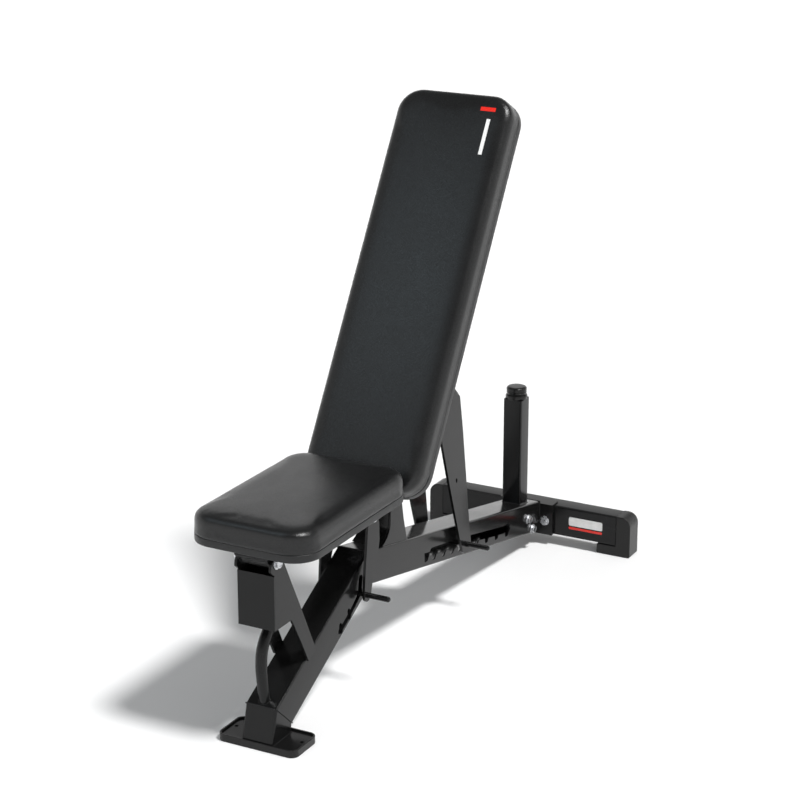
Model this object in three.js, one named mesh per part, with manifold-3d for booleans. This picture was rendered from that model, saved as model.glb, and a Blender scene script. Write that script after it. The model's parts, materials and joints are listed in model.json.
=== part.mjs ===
// Adjustable weight bench: a fixed steel base with two toothed ladders, a tilting seat and a
// reclining back, each held by a strut whose pin hooks into its ladder.
// Millimetres. +X is the side of the pull handles, +Y runs from the seat to the back foot, +Z is up.
import * as THREE from "three";
import { mergeVertices } from "three/addons/utils/BufferGeometryUtils.js";
import Module from "manifold-3d";

const wasm = await Module();
wasm.setup();

// ---------------------------------------------------------------------------------------------
// Driving dimensions
// ---------------------------------------------------------------------------------------------
const GAP = 0.3; // between two pieces that touch
const WALL = 3; // wall of every steel tube
const FAR = 400; // reach of the blocks that cut a tube to length
const ROUND_STEPS = 4; // half the segments in an arc of an outline
const TUBE_STEPS = 1; // and in the corner of a tube's section
const PIN_STEPS = 20; // sides of a round bar

const FLOOR = 0;
const PAD_BOARD = 16; // plywood under a cushion
const PAD_FOAM = 43;
const PAD_CORNER = 56;
const PAD_EDGE = 20; // rounding of a cushion's upper edge

const SEAT = { half: 138, front: -673.7, rear: -242, underside: 425 };
const BACK = { half: 138.7, length: 884, tilt: 58.64, y: -199, z: 397.7 };

const LEG = { half: 36, depth: 78, y: -251, z: 287, slope: 0.5418 };
const BEAM = { half: 36.5, depth: 75.7, y: 0, z: 236.1, slope: -0.206 };
const TUBE_CORNER = 5;
const UNDER_APEX = { y: -235, z: 207.6 }; // where the undersides of leg and beam meet
const BEAM_END = 611.7;

const FOOT = { half: 91, front: -648, rear: -556, height: 16, corner: 17, wall: 4 };
const FOOT_PLATE_TOP = 12;
const STUB = { front: -642, depth: 71.8, lean: 75.5 };

const CROSS = { front: 622, rear: 673.7, low: 25.3, high: 101.2, half: 232.7 };
const CAP = { half: 269.7, foot: 184, corner: 24, plug: 34 };
const FLANGE = { half: 70, front: 612, lip: 646, low: 26 };

const POST = { half: 24, front: 523, rear: 569, top: 388 };
const STOPPER_TOP = 417.2;

const SIDE_PLATE = { inner: 36.3, outer: 41.7 };
const SEAT_HINGE = { y: -621, z: 398 };
const RISER = { inner: 31, outer: 36.3 };
const BACK_HINGE = { y: -135, z: 380 };
const STRUT = { inner: 50, outer: 56 };
const SEAT_LUG = { inner: 44, outer: 49.4 };
const BACK_LUG = { inner: 43.4, outer: 49.4 };

const PIN_RADIUS = 5;
const HANDLE_RADIUS = 6;
const HANDLE_END = { seat: 108, back: 113 };

// A strut hangs on its pad's frame, and its pin runs in a ladder. The pin's path follows from the
// pad's hinge, the strut's own hinge, the pin at rest and how far the strut turns for each degree
// of the pad (turn, about +X, beside the turn of the pad itself).
const SEAT_LINK = {
  hinge: SEAT_HINGE,
  top: { y: -262, z: 372 },
  pin: { y: -286, z: 206 },
  turn: 1.0,
  range: [-12, 0],
};
const BACK_LINK = {
  hinge: BACK_HINGE,
  top: { y: 38, z: 535 },
  pin: { y: 173, z: 157.5 },
  turn: -1.665,
  range: [-58.64, 16.36],
};
const SEAT_NOTCHES = [-331, -366]; // along Y, besides the one the pin rests in
const BACK_NOTCHES = [12, 49, 95, 137, 176, 218, 262, 315, 368, 424];

// ---------------------------------------------------------------------------------------------
// Finishes
// ---------------------------------------------------------------------------------------------
const finish = (color, roughness, metalness) => ({ color, roughness, metalness });
const PAINT = finish(0x1a1a1b, 0.28, 0.2);
const UPHOLSTERY = finish(0x262729, 0.5, 0);
const BOARD = finish(0x202021, 0.55, 0);
const RUBBER = finish(0x18181a, 0.8, 0);
const ZINC = finish(0xb8bcc0, 0.3, 0.95);
const BRONZE = finish(0x8c7446, 0.45, 0.8);

// ---------------------------------------------------------------------------------------------
// Solids
// ---------------------------------------------------------------------------------------------
const radians = THREE.MathUtils.degToRad;

// A closed geometry as a solid that can be joined and cut.
function solid(geometry) {
  const bare = geometry.clone();
  bare.deleteAttribute("normal");
  bare.deleteAttribute("uv");
  const merged = mergeVertices(bare, 1e-4);
  return new wasm.Manifold(
    new wasm.Mesh({
      numProp: 3,
      vertProperties: merged.attributes.position.array,
      triVerts: new Uint32Array(merged.index.array),
    }),
  );
}

function geometryOf(shape) {
  const mesh = shape.getMesh();
  const geometry = new THREE.BufferGeometry();
  geometry.setAttribute("position", new THREE.BufferAttribute(mesh.vertProperties, 3));
  geometry.setIndex(new THREE.BufferAttribute(mesh.triVerts, 1));
  return geometry;
}

const cut = (shape, ...tools) => tools.reduce((left, tool) => left.subtract(tool), shape);
const join = (shape, ...others) => others.reduce((left, other) => left.add(other), shape);

// An outline from corners [a, b] or [a, b, radius]; a radius rounds that corner with an arc.
function outline(corners) {
  const shape = new THREE.Shape();
  const count = corners.length;
  corners.forEach(([a, b, radius = 0], i) => {
    const here = new THREE.Vector2(a, b);
    const before = new THREE.Vector2(...corners[(i + count - 1) % count].slice(0, 2)).sub(here);
    const after = new THREE.Vector2(...corners[(i + 1) % count].slice(0, 2)).sub(here);
    const half = Math.acos(before.dot(after) / before.length() / after.length()) / 2;
    const reach = radius / Math.tan(half);
    const start = here.clone().addScaledVector(before.normalize(), reach);
    const end = here.clone().addScaledVector(after.normalize(), reach);
    if (i === 0) shape.moveTo(start.x, start.y);
    else shape.lineTo(start.x, start.y);
    if (radius) {
      const middle = before.add(after).normalize();
      const centre = here.clone().addScaledVector(middle, radius / Math.sin(half));
      const from = start.sub(centre).angle();
      const to = end.sub(centre).angle();
      const turn = Math.atan2(Math.sin(to - from), Math.cos(to - from));
      shape.absarc(centre.x, centre.y, radius, from, to, turn < 0);
    }
  });
  shape.closePath();
  return shape;
}

const extruded = (shape, depth, curveSegments = ROUND_STEPS) =>
  new THREE.ExtrudeGeometry(shape, { depth, bevelEnabled: false, curveSegments });

// A plate whose outline is drawn in (y, z), from x = low to x = high.
function sidePlate(shape, low, high) {
  const upright = new THREE.Matrix4().makeBasis(
    new THREE.Vector3(0, 1, 0),
    new THREE.Vector3(0, 0, 1),
    new THREE.Vector3(1, 0, 0),
  );
  return solid(extruded(shape, high - low).applyMatrix4(upright).translate(low, 0, 0));
}

// A plate whose outline is drawn in (x, z), from y = low to y = high.
function frontPlate(shape, low, high) {
  return solid(extruded(shape, high - low).rotateX(Math.PI / 2).translate(0, high, 0));
}

// A plate whose outline is drawn in (x, y), from z = low to z = high.
function flatPlate(shape, low, high) {
  return solid(extruded(shape, high - low).translate(0, 0, low));
}

const block = (low, high) =>
  solid(
    new THREE.BoxGeometry(high[0] - low[0], high[1] - low[1], high[2] - low[2]).translate(
      (low[0] + high[0]) / 2,
      (low[1] + high[1]) / 2,
      (low[2] + high[2]) / 2,
    ),
  );

// A bar along X, round or with few sides, from x = low to x = high about (y, z).
function bar(radius, low, high, at, sides = PIN_STEPS) {
  const geometry = new THREE.CylinderGeometry(radius, radius, high - low, sides);
  return solid(geometry.rotateZ(Math.PI / 2).translate((low + high) / 2, at.y, at.z));
}

// A body turned about X: corners [x, radius] from low x to high x, starting and ending on the axis.
function turnedAlongX(corners, at, sides = PIN_STEPS) {
  const points = corners.map(([x, radius]) => new THREE.Vector2(radius, x));
  const geometry = new THREE.LatheGeometry(points, sides);
  return solid(geometry.rotateZ(-Math.PI / 2).translate(0, at.y, at.z));
}

// A rounded rectangle, and the same with a hollow middle.
function rectangle(width, height, radius) {
  const a = width / 2;
  const b = height / 2;
  return outline([[-a, -b, radius], [a, -b, radius], [a, b, radius], [-a, b, radius]]);
}

function hollowSection(width, height, radius, wall = WALL) {
  const section = rectangle(width, height, radius);
  section.holes.push(rectangle(width - 2 * wall, height - 2 * wall, Math.max(radius - wall, 1)));
  return section;
}

// A straight piece of the given section between two points of the bench's middle plane.
function tubeBetween(section, start, end) {
  const along = new THREE.Vector2(end.y - start.y, end.z - start.z);
  const geometry = extruded(section, along.length(), TUBE_STEPS);
  geometry.rotateX(Math.atan2(-along.x, along.y)).translate(0, start.y, start.z);
  return solid(geometry);
}

// A closed outline of constant width round a line of (y, z) points, with round ends.
function slotOutline(points, radius) {
  const line = points.map(({ y, z }) => new THREE.Vector2(y, z));
  const count = line.length;
  const direction = (i) =>
    line[Math.min(i + 1, count - 1)].clone().sub(line[Math.max(i - 1, 0)]).angle();
  const shape = new THREE.Shape();
  const side = (i, turn) => {
    const angle = direction(i) + turn;
    return [line[i].x + radius * Math.cos(angle), line[i].y + radius * Math.sin(angle)];
  };
  const quarter = Math.PI / 2;
  shape.moveTo(...side(0, -quarter));
  for (let i = 1; i < count; i++) shape.lineTo(...side(i, -quarter));
  const last = direction(count - 1);
  shape.absarc(line[count - 1].x, line[count - 1].y, radius, last - quarter, last + quarter, false);
  for (let i = count - 1; i >= 0; i--) shape.lineTo(...side(i, quarter));
  const first = direction(0);
  shape.absarc(line[0].x, line[0].y, radius, first + quarter, first + 3 * quarter, false);
  shape.closePath();
  return shape;
}

// A hexagon bolt along X: head on the +X side, plain shank to x = end.
function boltAlongX(at, radius, end, headFrom, headRadius, headHeight) {
  const shank = bar(radius, end, headFrom + 1, at);
  return join(bar(headRadius, headFrom, headFrom + headHeight, at, 6), shank);
}

// A nut on the -X side of the same bolt, clear of the shank by the gap.
function nutAlongX(at, radius, face, height, nutRadius) {
  const blank = bar(nutRadius, -face - height, -face, at, 6);
  return cut(blank, bar(radius + GAP, -face - height - 1, -face + 1, at));
}

// ---------------------------------------------------------------------------------------------
// Kinematics that the ladders are cut to
// ---------------------------------------------------------------------------------------------
function turned(point, centre, degrees) {
  const v = new THREE.Vector2(point.y - centre.y, point.z - centre.z);
  v.rotateAround(new THREE.Vector2(), radians(degrees));
  return { y: centre.y + v.x, z: centre.z + v.y };
}

// Where a link's pin is when its pad has turned by the given degrees.
function pinAt(link, degrees) {
  const top = turned(link.top, link.hinge, degrees);
  const pin = turned(link.pin, link.top, degrees * (1 + link.turn));
  return { y: top.y + pin.y - link.top.y, z: top.z + pin.z - link.top.z };
}

function pinPath(link, steps, overrun) {
  const [low, high] = link.range;
  const path = [];
  for (let i = 0; i <= steps; i++) {
    path.push(pinAt(link, low - overrun + ((high - low + 2 * overrun) * i) / steps));
  }
  return path;
}

const legTop = (y) => LEG.z + LEG.slope * (y - LEG.y);
const beamTop = (y) => BEAM.z + BEAM.slope * (y - BEAM.y);
const legHeight = LEG.depth * Math.hypot(1, LEG.slope);
const beamHeight = BEAM.depth * Math.hypot(1, BEAM.slope);

// ---------------------------------------------------------------------------------------------
// Scene graph
// ---------------------------------------------------------------------------------------------
const bench = new THREE.Group();
const backGroup = new THREE.Group(); // +Y up along the back board, +Z out of the back's cushion
backGroup.position.set(0, BACK.y, BACK.z);
backGroup.rotation.x = radians(BACK.tilt);
bench.add(backGroup);

function addNode(name, shape, look, parent = bench) {
  const mesh = new THREE.Mesh(geometryOf(shape), new THREE.MeshStandardMaterial(look));
  mesh.name = name;
  parent.add(mesh);
}

// Calls make(side, name) for both sides, with side = -1 for left and 1 for right.
function onBothSides(make) {
  make(-1, "left");
  make(1, "right");
}

// A range of x mirrored to one side.
const across = (side, inner, outer) => (side > 0 ? [inner, outer] : [-outer, -inner]);

// ---------------------------------------------------------------------------------------------
// Base: leg, beam and feet
// ---------------------------------------------------------------------------------------------
const shifted = ({ y, z }, dy, dz = 0) => ({ y: y + dy, z: z + dz });

// A block on the left of the line from a to b, both (y, z) points, for cutting a piece to length.
function leftOf(a, b) {
  const along = new THREE.Vector2(b.y - a.y, b.z - a.z).normalize();
  const corner = (s, t) => [a.y + s * along.x - t * along.y, a.z + s * along.y + t * along.x];
  const shape = outline([corner(-FAR, 0), corner(FAR, 0), corner(FAR, FAR), corner(-FAR, FAR)]);
  return sidePlate(shape, -FAR, FAR);
}

const APEX = { y: LEG.y, z: LEG.z };
const STUB_TOP = { y: -623.2, z: legTop(-623.2) };
const STUB_HEEL = { y: -562.5, z: legTop(-562.5) - legHeight };
const beamMiddle = (y) => ({ y, z: beamTop(y) - beamHeight / 2 });
const legMiddle = (y) => ({ y, z: legTop(y) - legHeight / 2 });

const BEAM_BOLT = { radius: 6, head: 10, height: 6 };
const BEAM_BOLTS = { upper: { y: 545, z: 86 }, lower: { y: 570, z: 53 } };

function seatLadder() {
  const rest = SEAT_LINK.pin;
  const slots = [
    slotOutline(pinPath(SEAT_LINK, 4, 0.8), PIN_RADIUS + 1.5),
    slotOutline([rest, shifted(rest, 5, 32)], PIN_RADIUS + 3),
  ];
  for (const y of SEAT_NOTCHES) {
    const foot = { y: y + 3, z: legTop(y) - legHeight + 15 };
    slots.push(slotOutline([foot, shifted(foot, -4, 14)], PIN_RADIUS + 0.6));
  }
  return slots.map((shape) => sidePlate(shape, -FAR, FAR));
}

function backLadder() {
  const slots = [slotOutline(pinPath(BACK_LINK, 10, 1.2), 9.2)];
  for (const y of BACK_NOTCHES) {
    const low = beamTop(y) - 64.5;
    slots.push(
      outline([[y - 7, low + 22], [y - 6.5, low, 5], [y + 7, low - 1, 5], [y + 22, low + 16]]),
    );
  }
  return slots.map((shape) => sidePlate(shape, -FAR, FAR));
}

function buildLegAndBeam() {
  const legSection = hollowSection(2 * LEG.half, LEG.depth, TUBE_CORNER);
  const leg = tubeBetween(legSection, legMiddle(-700), legMiddle(-150));
  const legRear = leftOf(shifted(APEX, -GAP), shifted(UNDER_APEX, -GAP));
  const legFront = leftOf(shifted(STUB_HEEL, 0, GAP), shifted(STUB_TOP, 0, GAP));
  addNode("front_leg", cut(leg, legRear, legFront, ...seatLadder()), PAINT);

  const beamSection = hollowSection(2 * BEAM.half, BEAM.depth, TUBE_CORNER);
  const beam = tubeBetween(beamSection, beamMiddle(-320), beamMiddle(700));
  const beamFront = leftOf(UNDER_APEX, APEX);
  const beamRear = block([-FAR, BEAM_END, -FAR], [FAR, BEAM_END + FAR, FAR]);
  const holes = Object.values(BEAM_BOLTS).map((at) => bar(BEAM_BOLT.radius + GAP, -FAR, FAR, at));
  addNode("main_beam", cut(beam, beamFront, beamRear, ...backLadder(), ...holes), PAINT);

  const clear = 2 * (WALL + GAP);
  const sleeveSection = hollowSection(2 * BEAM.half - clear, BEAM.depth - clear, 3, 4);
  const sleeve = tubeBetween(sleeveSection, beamMiddle(520), beamMiddle(700));
  addNode("beam_end_sleeve", cut(sleeve, beamRear, ...holes), PAINT);

  const { radius, head, height } = BEAM_BOLT;
  const face = BEAM.half + GAP;
  for (const [name, at] of Object.entries(BEAM_BOLTS)) {
    const nut = bar(head, -face - 9, -face, at, 6); // run tight on its bolt, so drawn in one with it
    addNode(`beam_bolt_${name}`, join(boltAlongX(at, radius, -face - 12, face, head, height), nut), ZINC);
  }
}

function buildFoot() {
  const { half, front, rear, height, corner, wall } = FOOT;
  const tray = (inset) =>
    outline([
      [-half + inset, front + inset, corner - inset],
      [half - inset, front + inset, corner - inset],
      [half - inset, rear - inset, corner - inset],
      [-half + inset, rear - inset, corner - inset],
    ]);
  const recess = flatPlate(tray(wall), WALL, height + 1);
  addNode("front_foot_pad", cut(flatPlate(tray(0), FLOOR, height), recess), RUBBER);

  const plate = flatPlate(tray(wall + GAP), WALL + GAP, FOOT_PLATE_TOP);
  const screwHoles = [-76, 76].map((x) => uprightBar(4, FLOOR, height, x, -596));
  addNode("front_foot_plate", cut(plate, ...screwHoles), PAINT);

  const section = hollowSection(2 * LEG.half, STUB.depth, TUBE_CORNER);
  const lean = radians(STUB.lean);
  const base = { y: STUB.front + STUB.depth / 2 / Math.sin(lean), z: FOOT_PLATE_TOP + GAP };
  const along = (length) => shifted(base, length * Math.cos(lean), length * Math.sin(lean));
  const stub = tubeBetween(section, along(-40), along(160));
  const below = block([-FAR, -2 * FAR, -FAR], [FAR, FAR, base.z]);
  addNode("foot_stub", cut(stub, below, leftOf(STUB_TOP, STUB_HEEL)), PAINT);
}

// A bar along Z at (x, y).
function uprightBar(radius, low, high, x, y, sides = PIN_STEPS) {
  const geometry = new THREE.CylinderGeometry(radius, radius, high - low, sides);
  return solid(geometry.rotateX(Math.PI / 2).translate(x, y, (low + high) / 2));
}

// ---------------------------------------------------------------------------------------------
// Base: front post that carries the seat's hinge, and the pull handle under it
// ---------------------------------------------------------------------------------------------
const COVER = { front: -633, rear: -630, low: 257.5, high: 372.3, floorRear: -569 };
const LOBE = { y: -618.5, z: 388, radius: 24.5 };
const SEAT_BOLT = { radius: 8, head: 11, height: 6 };
const HANDLE_BAR = { radius: 12, steps: 20 };
const HANDLE_LINE = [
  [-606, 70],
  [-610, 100],
  [-616, 140],
  [-619, 172],
  [-616, 198],
  [-606, 218],
  [-593, 234],
  [-585, 250],
  [-583, 270],
];

function buildGrabHandle() {
  const points = HANDLE_LINE.map(([y, z]) => new THREE.Vector3(0, y, z));
  const section = new THREE.Shape().absarc(0, 0, HANDLE_BAR.radius, 0, 2 * Math.PI);
  const geometry = new THREE.ExtrudeGeometry(section, {
    extrudePath: new THREE.CatmullRomCurve3(points),
    steps: HANDLE_BAR.steps,
    curveSegments: 7,
    bevelEnabled: false,
  });
  const legSurface = leftOf({ y: -600, z: legTop(-600) + GAP }, { y: -700, z: legTop(-700) + GAP });
  const coverFloor = block([-FAR, -2 * FAR, COVER.low - GAP], [FAR, FAR, FAR]);
  addNode("grab_handle", cut(solid(geometry), legSurface, coverFloor), PAINT);
}

function buildFrontPost() {
  const front = COVER.rear + GAP;
  const shape = new THREE.Shape();
  shape.moveTo(front, COVER.low);
  shape.lineTo(front, COVER.high);
  shape.lineTo(LOBE.y - LOBE.radius, LOBE.z - 4);
  shape.absarc(LOBE.y, LOBE.z, LOBE.radius, Math.PI, 0, true);
  shape.lineTo(-571, 343);
  shape.lineTo(-538, 280);
  shape.lineTo(-477, 159);
  shape.lineTo(-505.8, 143);
  shape.lineTo(-532, 192);
  shape.lineTo(COVER.floorRear, COVER.low);
  shape.closePath();
  const hole = bar(SEAT_BOLT.radius + GAP, -FAR, FAR, SEAT_HINGE);
  onBothSides((side, name) => {
    const plate = sidePlate(shape, ...across(side, SIDE_PLATE.inner, SIDE_PLATE.outer));
    addNode(`front_side_plate_${name}`, cut(plate, hole), PAINT);
  });

  // The cover is a folded sheet: a front wall, a floor that runs back between the side plates and
  // a rear wall that follows their rear edges.
  const { outer } = SIDE_PLATE;
  const face = block([-outer, COVER.front, COVER.low], [outer, COVER.rear, COVER.high]);
  const half = SIDE_PLATE.inner - GAP;
  const floor = block([-half, COVER.front + 1, COVER.low], [half, COVER.floorRear, COVER.low + WALL]);
  const rear = outline([
    [COVER.floorRear, COVER.low],
    [-573, 343.6],
    [-588.5, 374],
    [-591.5, 372.6],
    [-576, 342.6],
    [COVER.floorRear - WALL, COVER.low],
  ]);
  addNode("front_cover_plate", join(face, floor, sidePlate(rear, -half, half)), PAINT);

  const { radius, head, height } = SEAT_BOLT;
  const bolt = boltAlongX(SEAT_HINGE, radius, -outer - 14, outer + GAP, head, height);
  addNode("seat_pivot_bolt", bolt, ZINC);
  addNode("seat_pivot_nut", nutAlongX(SEAT_HINGE, radius, outer + GAP, 10, 13), ZINC);
}

// ---------------------------------------------------------------------------------------------
// Base: risers of the back's hinge
// ---------------------------------------------------------------------------------------------
const BACK_BOLT = { radius: 8, head: 12, height: 8 };
const RISER_LOBE = 21;

function buildRisers() {
  const foot = (y) => beamTop(y) + GAP;
  const shape = new THREE.Shape();
  shape.moveTo(-190, foot(-190));
  shape.quadraticCurveTo(-157, 286, -151, 312);
  shape.lineTo(-150, 343);
  shape.lineTo(BACK_HINGE.y - RISER_LOBE, BACK_HINGE.z - 6);
  shape.absarc(BACK_HINGE.y, BACK_HINGE.z, RISER_LOBE, Math.PI, 0.2, true);
  shape.lineTo(-99, 349);
  shape.lineTo(-95, 327);
  shape.lineTo(-90, 302);
  shape.lineTo(-76, foot(-76));
  shape.closePath();
  // The left riser's sheet is folded round the front as a web, up to the right riser.
  const web = new THREE.Shape();
  web.moveTo(-190, foot(-190));
  web.quadraticCurveTo(-157, 286, -151, 312);
  web.lineTo(-150, 343);
  web.lineTo(-146, 343);
  web.lineTo(-147, 311);
  web.quadraticCurveTo(-154, 283, -182, foot(-182));
  web.closePath();
  const hole = bar(BACK_BOLT.radius + GAP, -FAR, FAR, BACK_HINGE);
  onBothSides((side, name) => {
    const plate = sidePlate(shape, ...across(side, RISER.inner, RISER.outer));
    const folded = side < 0 ? join(plate, sidePlate(web, -RISER.outer, RISER.inner - GAP)) : plate;
    addNode(`riser_plate_${name}`, cut(folded, hole), PAINT);
  });
  const { radius, head, height } = BACK_BOLT;
  const face = RISER.outer + GAP;
  addNode("back_pivot_bolt", boltAlongX(BACK_HINGE, radius, -face - 13, face, head, height), ZINC);
  addNode("back_pivot_nut", nutAlongX(BACK_HINGE, radius, face, 10, 13), ZINC);
}

// ---------------------------------------------------------------------------------------------
// Base: rear foot, flange and post
// ---------------------------------------------------------------------------------------------
const FLANGE_BOLT = { x: 50, z: 62, radius: 6, head: 10, height: 6, length: 34 };

// A bar along Y at (x, z).
function barAlongY(radius, low, high, x, z, sides = PIN_STEPS) {
  const geometry = new THREE.CylinderGeometry(radius, radius, high - low, sides);
  return solid(geometry.translate(x, (low + high) / 2, z));
}

function buildRearFoot() {
  const { front, rear, low, high, half } = CROSS;
  const section = hollowSection(high - low, rear - front, TUBE_CORNER);
  const lying = extruded(section, 2 * half, TUBE_STEPS).rotateY(Math.PI / 2);
  const tube = solid(lying.translate(-half, (front + rear) / 2, (low + high) / 2));
  const boltSides = [-FLANGE_BOLT.x, FLANGE_BOLT.x];
  const holes = boltSides.map((x) =>
    barAlongY(FLANGE_BOLT.radius + GAP, FLANGE.front - 1, front + 10, x, FLANGE_BOLT.z),
  );
  addNode("rear_cross_tube", cut(tube, ...holes), PAINT);

  onBothSides((side, name) => {
    const inner = side * (half + GAP);
    const profile = outline([
      [side * CAP.foot, FLOOR, 3],
      [side * CAP.half, FLOOR, 4],
      [side * CAP.half, high, CAP.corner],
      [inner, high],
      [inner, low - GAP],
      [side * CAP.foot, low - GAP, 3],
    ]);
    const slack = WALL + 1;
    const [plugLow, plugHigh] = across(side, half - CAP.plug, half + 2 * GAP);
    const plug = block([plugLow, front + slack, low + slack], [plugHigh, rear - slack, high - slack]);
    addNode(`rear_foot_cap_${name}`, join(frontPlate(profile, front, rear), plug), RUBBER);
  });

  // The flange is a folded plate: an upright wall and a lip that laps over the tube.
  const crest = high + GAP + WALL;
  const wall = block([-FLANGE.half, FLANGE.front, FLANGE.low], [FLANGE.half, front - GAP, crest]);
  const lip = block([-FLANGE.half, FLANGE.front + 1, high + GAP], [FLANGE.half, FLANGE.lip, crest]);
  addNode("rear_flange_plate", cut(join(wall, lip), ...holes), PAINT);

  const { radius, head, height, length } = FLANGE_BOLT;
  const face = FLANGE.front - GAP;
  onBothSides((side, name) => {
    const x = side * FLANGE_BOLT.x;
    const hexagon = barAlongY(head, face - height, face, x, FLANGE_BOLT.z, 6);
    const shank = barAlongY(radius, face - 1, face + length, x, FLANGE_BOLT.z);
    addNode(`flange_bolt_${name}`, join(hexagon, shank), ZINC);
  });
}

function buildRearPost() {
  const depth = POST.rear - POST.front;
  const middle = (POST.front + POST.rear) / 2;
  const section = hollowSection(2 * POST.half, depth, TUBE_CORNER);
  const tube = solid(extruded(section, POST.top, TUBE_STEPS).translate(0, middle, 0));
  const beamSurface = leftOf({ y: 700, z: beamTop(700) + GAP }, { y: 0, z: beamTop(0) + GAP });
  addNode("rear_post", cut(tube, beamSurface), PAINT);

  const seat = POST.top + GAP;
  const profile = [
    [0, seat - 18],
    [18, seat - 18],
    [18, seat],
    [26, seat],
    [26, seat + 8],
    [24, seat + 10],
    [20, seat + 10],
    [20, seat + 14],
    [23.5, seat + 14],
    [23.5, STOPPER_TOP - 3],
    [20.5, STOPPER_TOP],
    [0, STOPPER_TOP],
  ];
  const stopper = new THREE.LatheGeometry(profile.map(([r, z]) => new THREE.Vector2(r, z)), 32);
  addNode("rear_post_stopper", solid(stopper.rotateX(Math.PI / 2).translate(0, middle, 0)), RUBBER);
}

// ---------------------------------------------------------------------------------------------
// Struts: two plates, a hinge pin at the top, a ladder pin with a pull handle at the foot
// ---------------------------------------------------------------------------------------------
const STRUT_PIN = { radius: 7, head: 11, height: 5 };
const BACK_TIE = { y: 96, z: 425, radius: 12 };

// A plain headed pin along X, with a head against each side of the struts.
function hingePin(at, radius, outer) {
  const face = outer + GAP;
  const { head, height } = STRUT_PIN;
  return turnedAlongX(
    [
      [-face - height, 0],
      [-face - height, head],
      [-face, head],
      [-face, radius],
      [face, radius],
      [face, head],
      [face + height, head],
      [face + height, 0],
    ],
    at,
  );
}

// A ladder pin: a head on the -X side, and a pull handle beyond the strut on the +X side.
function ladderPin(at, end) {
  const face = STRUT.outer + GAP;
  return turnedAlongX(
    [
      [-face - 5, 0],
      [-face - 5, 8],
      [-face, 9],
      [-face, PIN_RADIUS],
      [face, PIN_RADIUS],
      [face, HANDLE_RADIUS],
      [end - 3, HANDLE_RADIUS],
      [end, 3],
      [end, 0],
    ],
    at,
  );
}

function buildStrut(prefix, shape, link, handleEnd) {
  const holes = [
    bar(STRUT_PIN.radius + GAP, -FAR, FAR, link.top),
    bar(PIN_RADIUS + GAP, -FAR, FAR, link.pin),
  ];
  onBothSides((side, name) => {
    const plate = sidePlate(shape, ...across(side, STRUT.inner, STRUT.outer));
    addNode(`${prefix}_strut_plate_${name}`, cut(plate, ...holes), PAINT);
  });
  addNode(`${prefix}_ladder_pin`, ladderPin(link.pin, handleEnd), PAINT);
  addNode(`${prefix}_strut_hinge_pin`, hingePin(link.top, STRUT_PIN.radius, STRUT.outer), ZINC);
}

function buildSeatStrut() {
  const { top, pin } = SEAT_LINK;
  const shape = new THREE.Shape();
  shape.moveTo(pin.y - 14, pin.z);
  shape.quadraticCurveTo(-297, 262, -290, 307);
  shape.lineTo(top.y - 20, top.z);
  shape.absarc(top.y, top.z, 20, Math.PI, 0, true);
  shape.lineTo(-236, 352);
  shape.lineTo(-235, 312);
  shape.quadraticCurveTo(-240, 281, -266, 228);
  shape.lineTo(pin.y + 14, pin.z);
  shape.absarc(pin.y, pin.z, 14, 0, -Math.PI, true);
  shape.closePath();
  buildStrut("seat", shape, SEAT_LINK, HANDLE_END.seat);
}

function buildBackStrut() {
  const { top, pin } = BACK_LINK;
  const shape = new THREE.Shape();
  shape.moveTo(pin.y - 22, pin.z);
  shape.lineTo(140, 179);
  shape.lineTo(88, 323);
  shape.lineTo(48, 440);
  shape.lineTo(21, 519);
  shape.quadraticCurveTo(16, 552, 44, 555);
  shape.lineTo(98, 555);
  shape.lineTo(134, 519);
  shape.lineTo(150, 436);
  shape.lineTo(167, 324);
  shape.lineTo(185, 211);
  shape.lineTo(pin.y + 22, pin.z);
  shape.absarc(pin.y, pin.z, 22, 0, -Math.PI, true);
  shape.closePath();
  shape.holes.push(slotOutline([{ y: 120, z: 329 }, { y: 121, z: 325 }], 3.5));
  buildStrut("back", shape, BACK_LINK, HANDLE_END.back);
  const half = STRUT.inner - GAP;
  addNode("back_strut_tie", bar(BACK_TIE.radius, -half, half, BACK_TIE), PAINT);
}

// ---------------------------------------------------------------------------------------------
// Seat
// ---------------------------------------------------------------------------------------------
// A cushion lying on z = low: a rounded rectangle with its upper edge rounded too.
function cushion(half, front, rear, low) {
  const inset = PAD_EDGE;
  const shape = rectangle(2 * (half - inset), rear - front - 2 * inset, PAD_CORNER - inset);
  const geometry = new THREE.ExtrudeGeometry(shape, {
    depth: PAD_FOAM,
    bevelEnabled: true,
    bevelThickness: inset,
    bevelSize: inset,
    bevelSegments: 4,
    curveSegments: 4,
  });
  const middle = (front + rear) / 2;
  const below = block([-FAR, middle - 2 * FAR, low - FAR], [FAR, middle + 2 * FAR, low]);
  return cut(solid(geometry.translate(0, middle, low - inset)), below);
}

const SEAT_SCREWS = { plate: 4, x: 26, radius: 4, head: 7.5 };
const SEAT_BRACKET = { rear: -490, screw: -520 };
const SEAT_CROSS = { front: -345, rear: -305, screw: -325 };

// A button-head screw that comes up through a mounting plate into a pad's board.
function boardScrew(x, y, headZ, depth) {
  const { radius, head } = SEAT_SCREWS;
  const shank = uprightBar(radius, headZ - 1, headZ + depth, x, y, 12);
  return join(uprightBar(head, headZ - 4, headZ, x, y, 18), shank);
}

const screwHole = (x, y, low, high) => uprightBar(SEAT_SCREWS.radius + GAP, low, high, x, y, 12);

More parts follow.
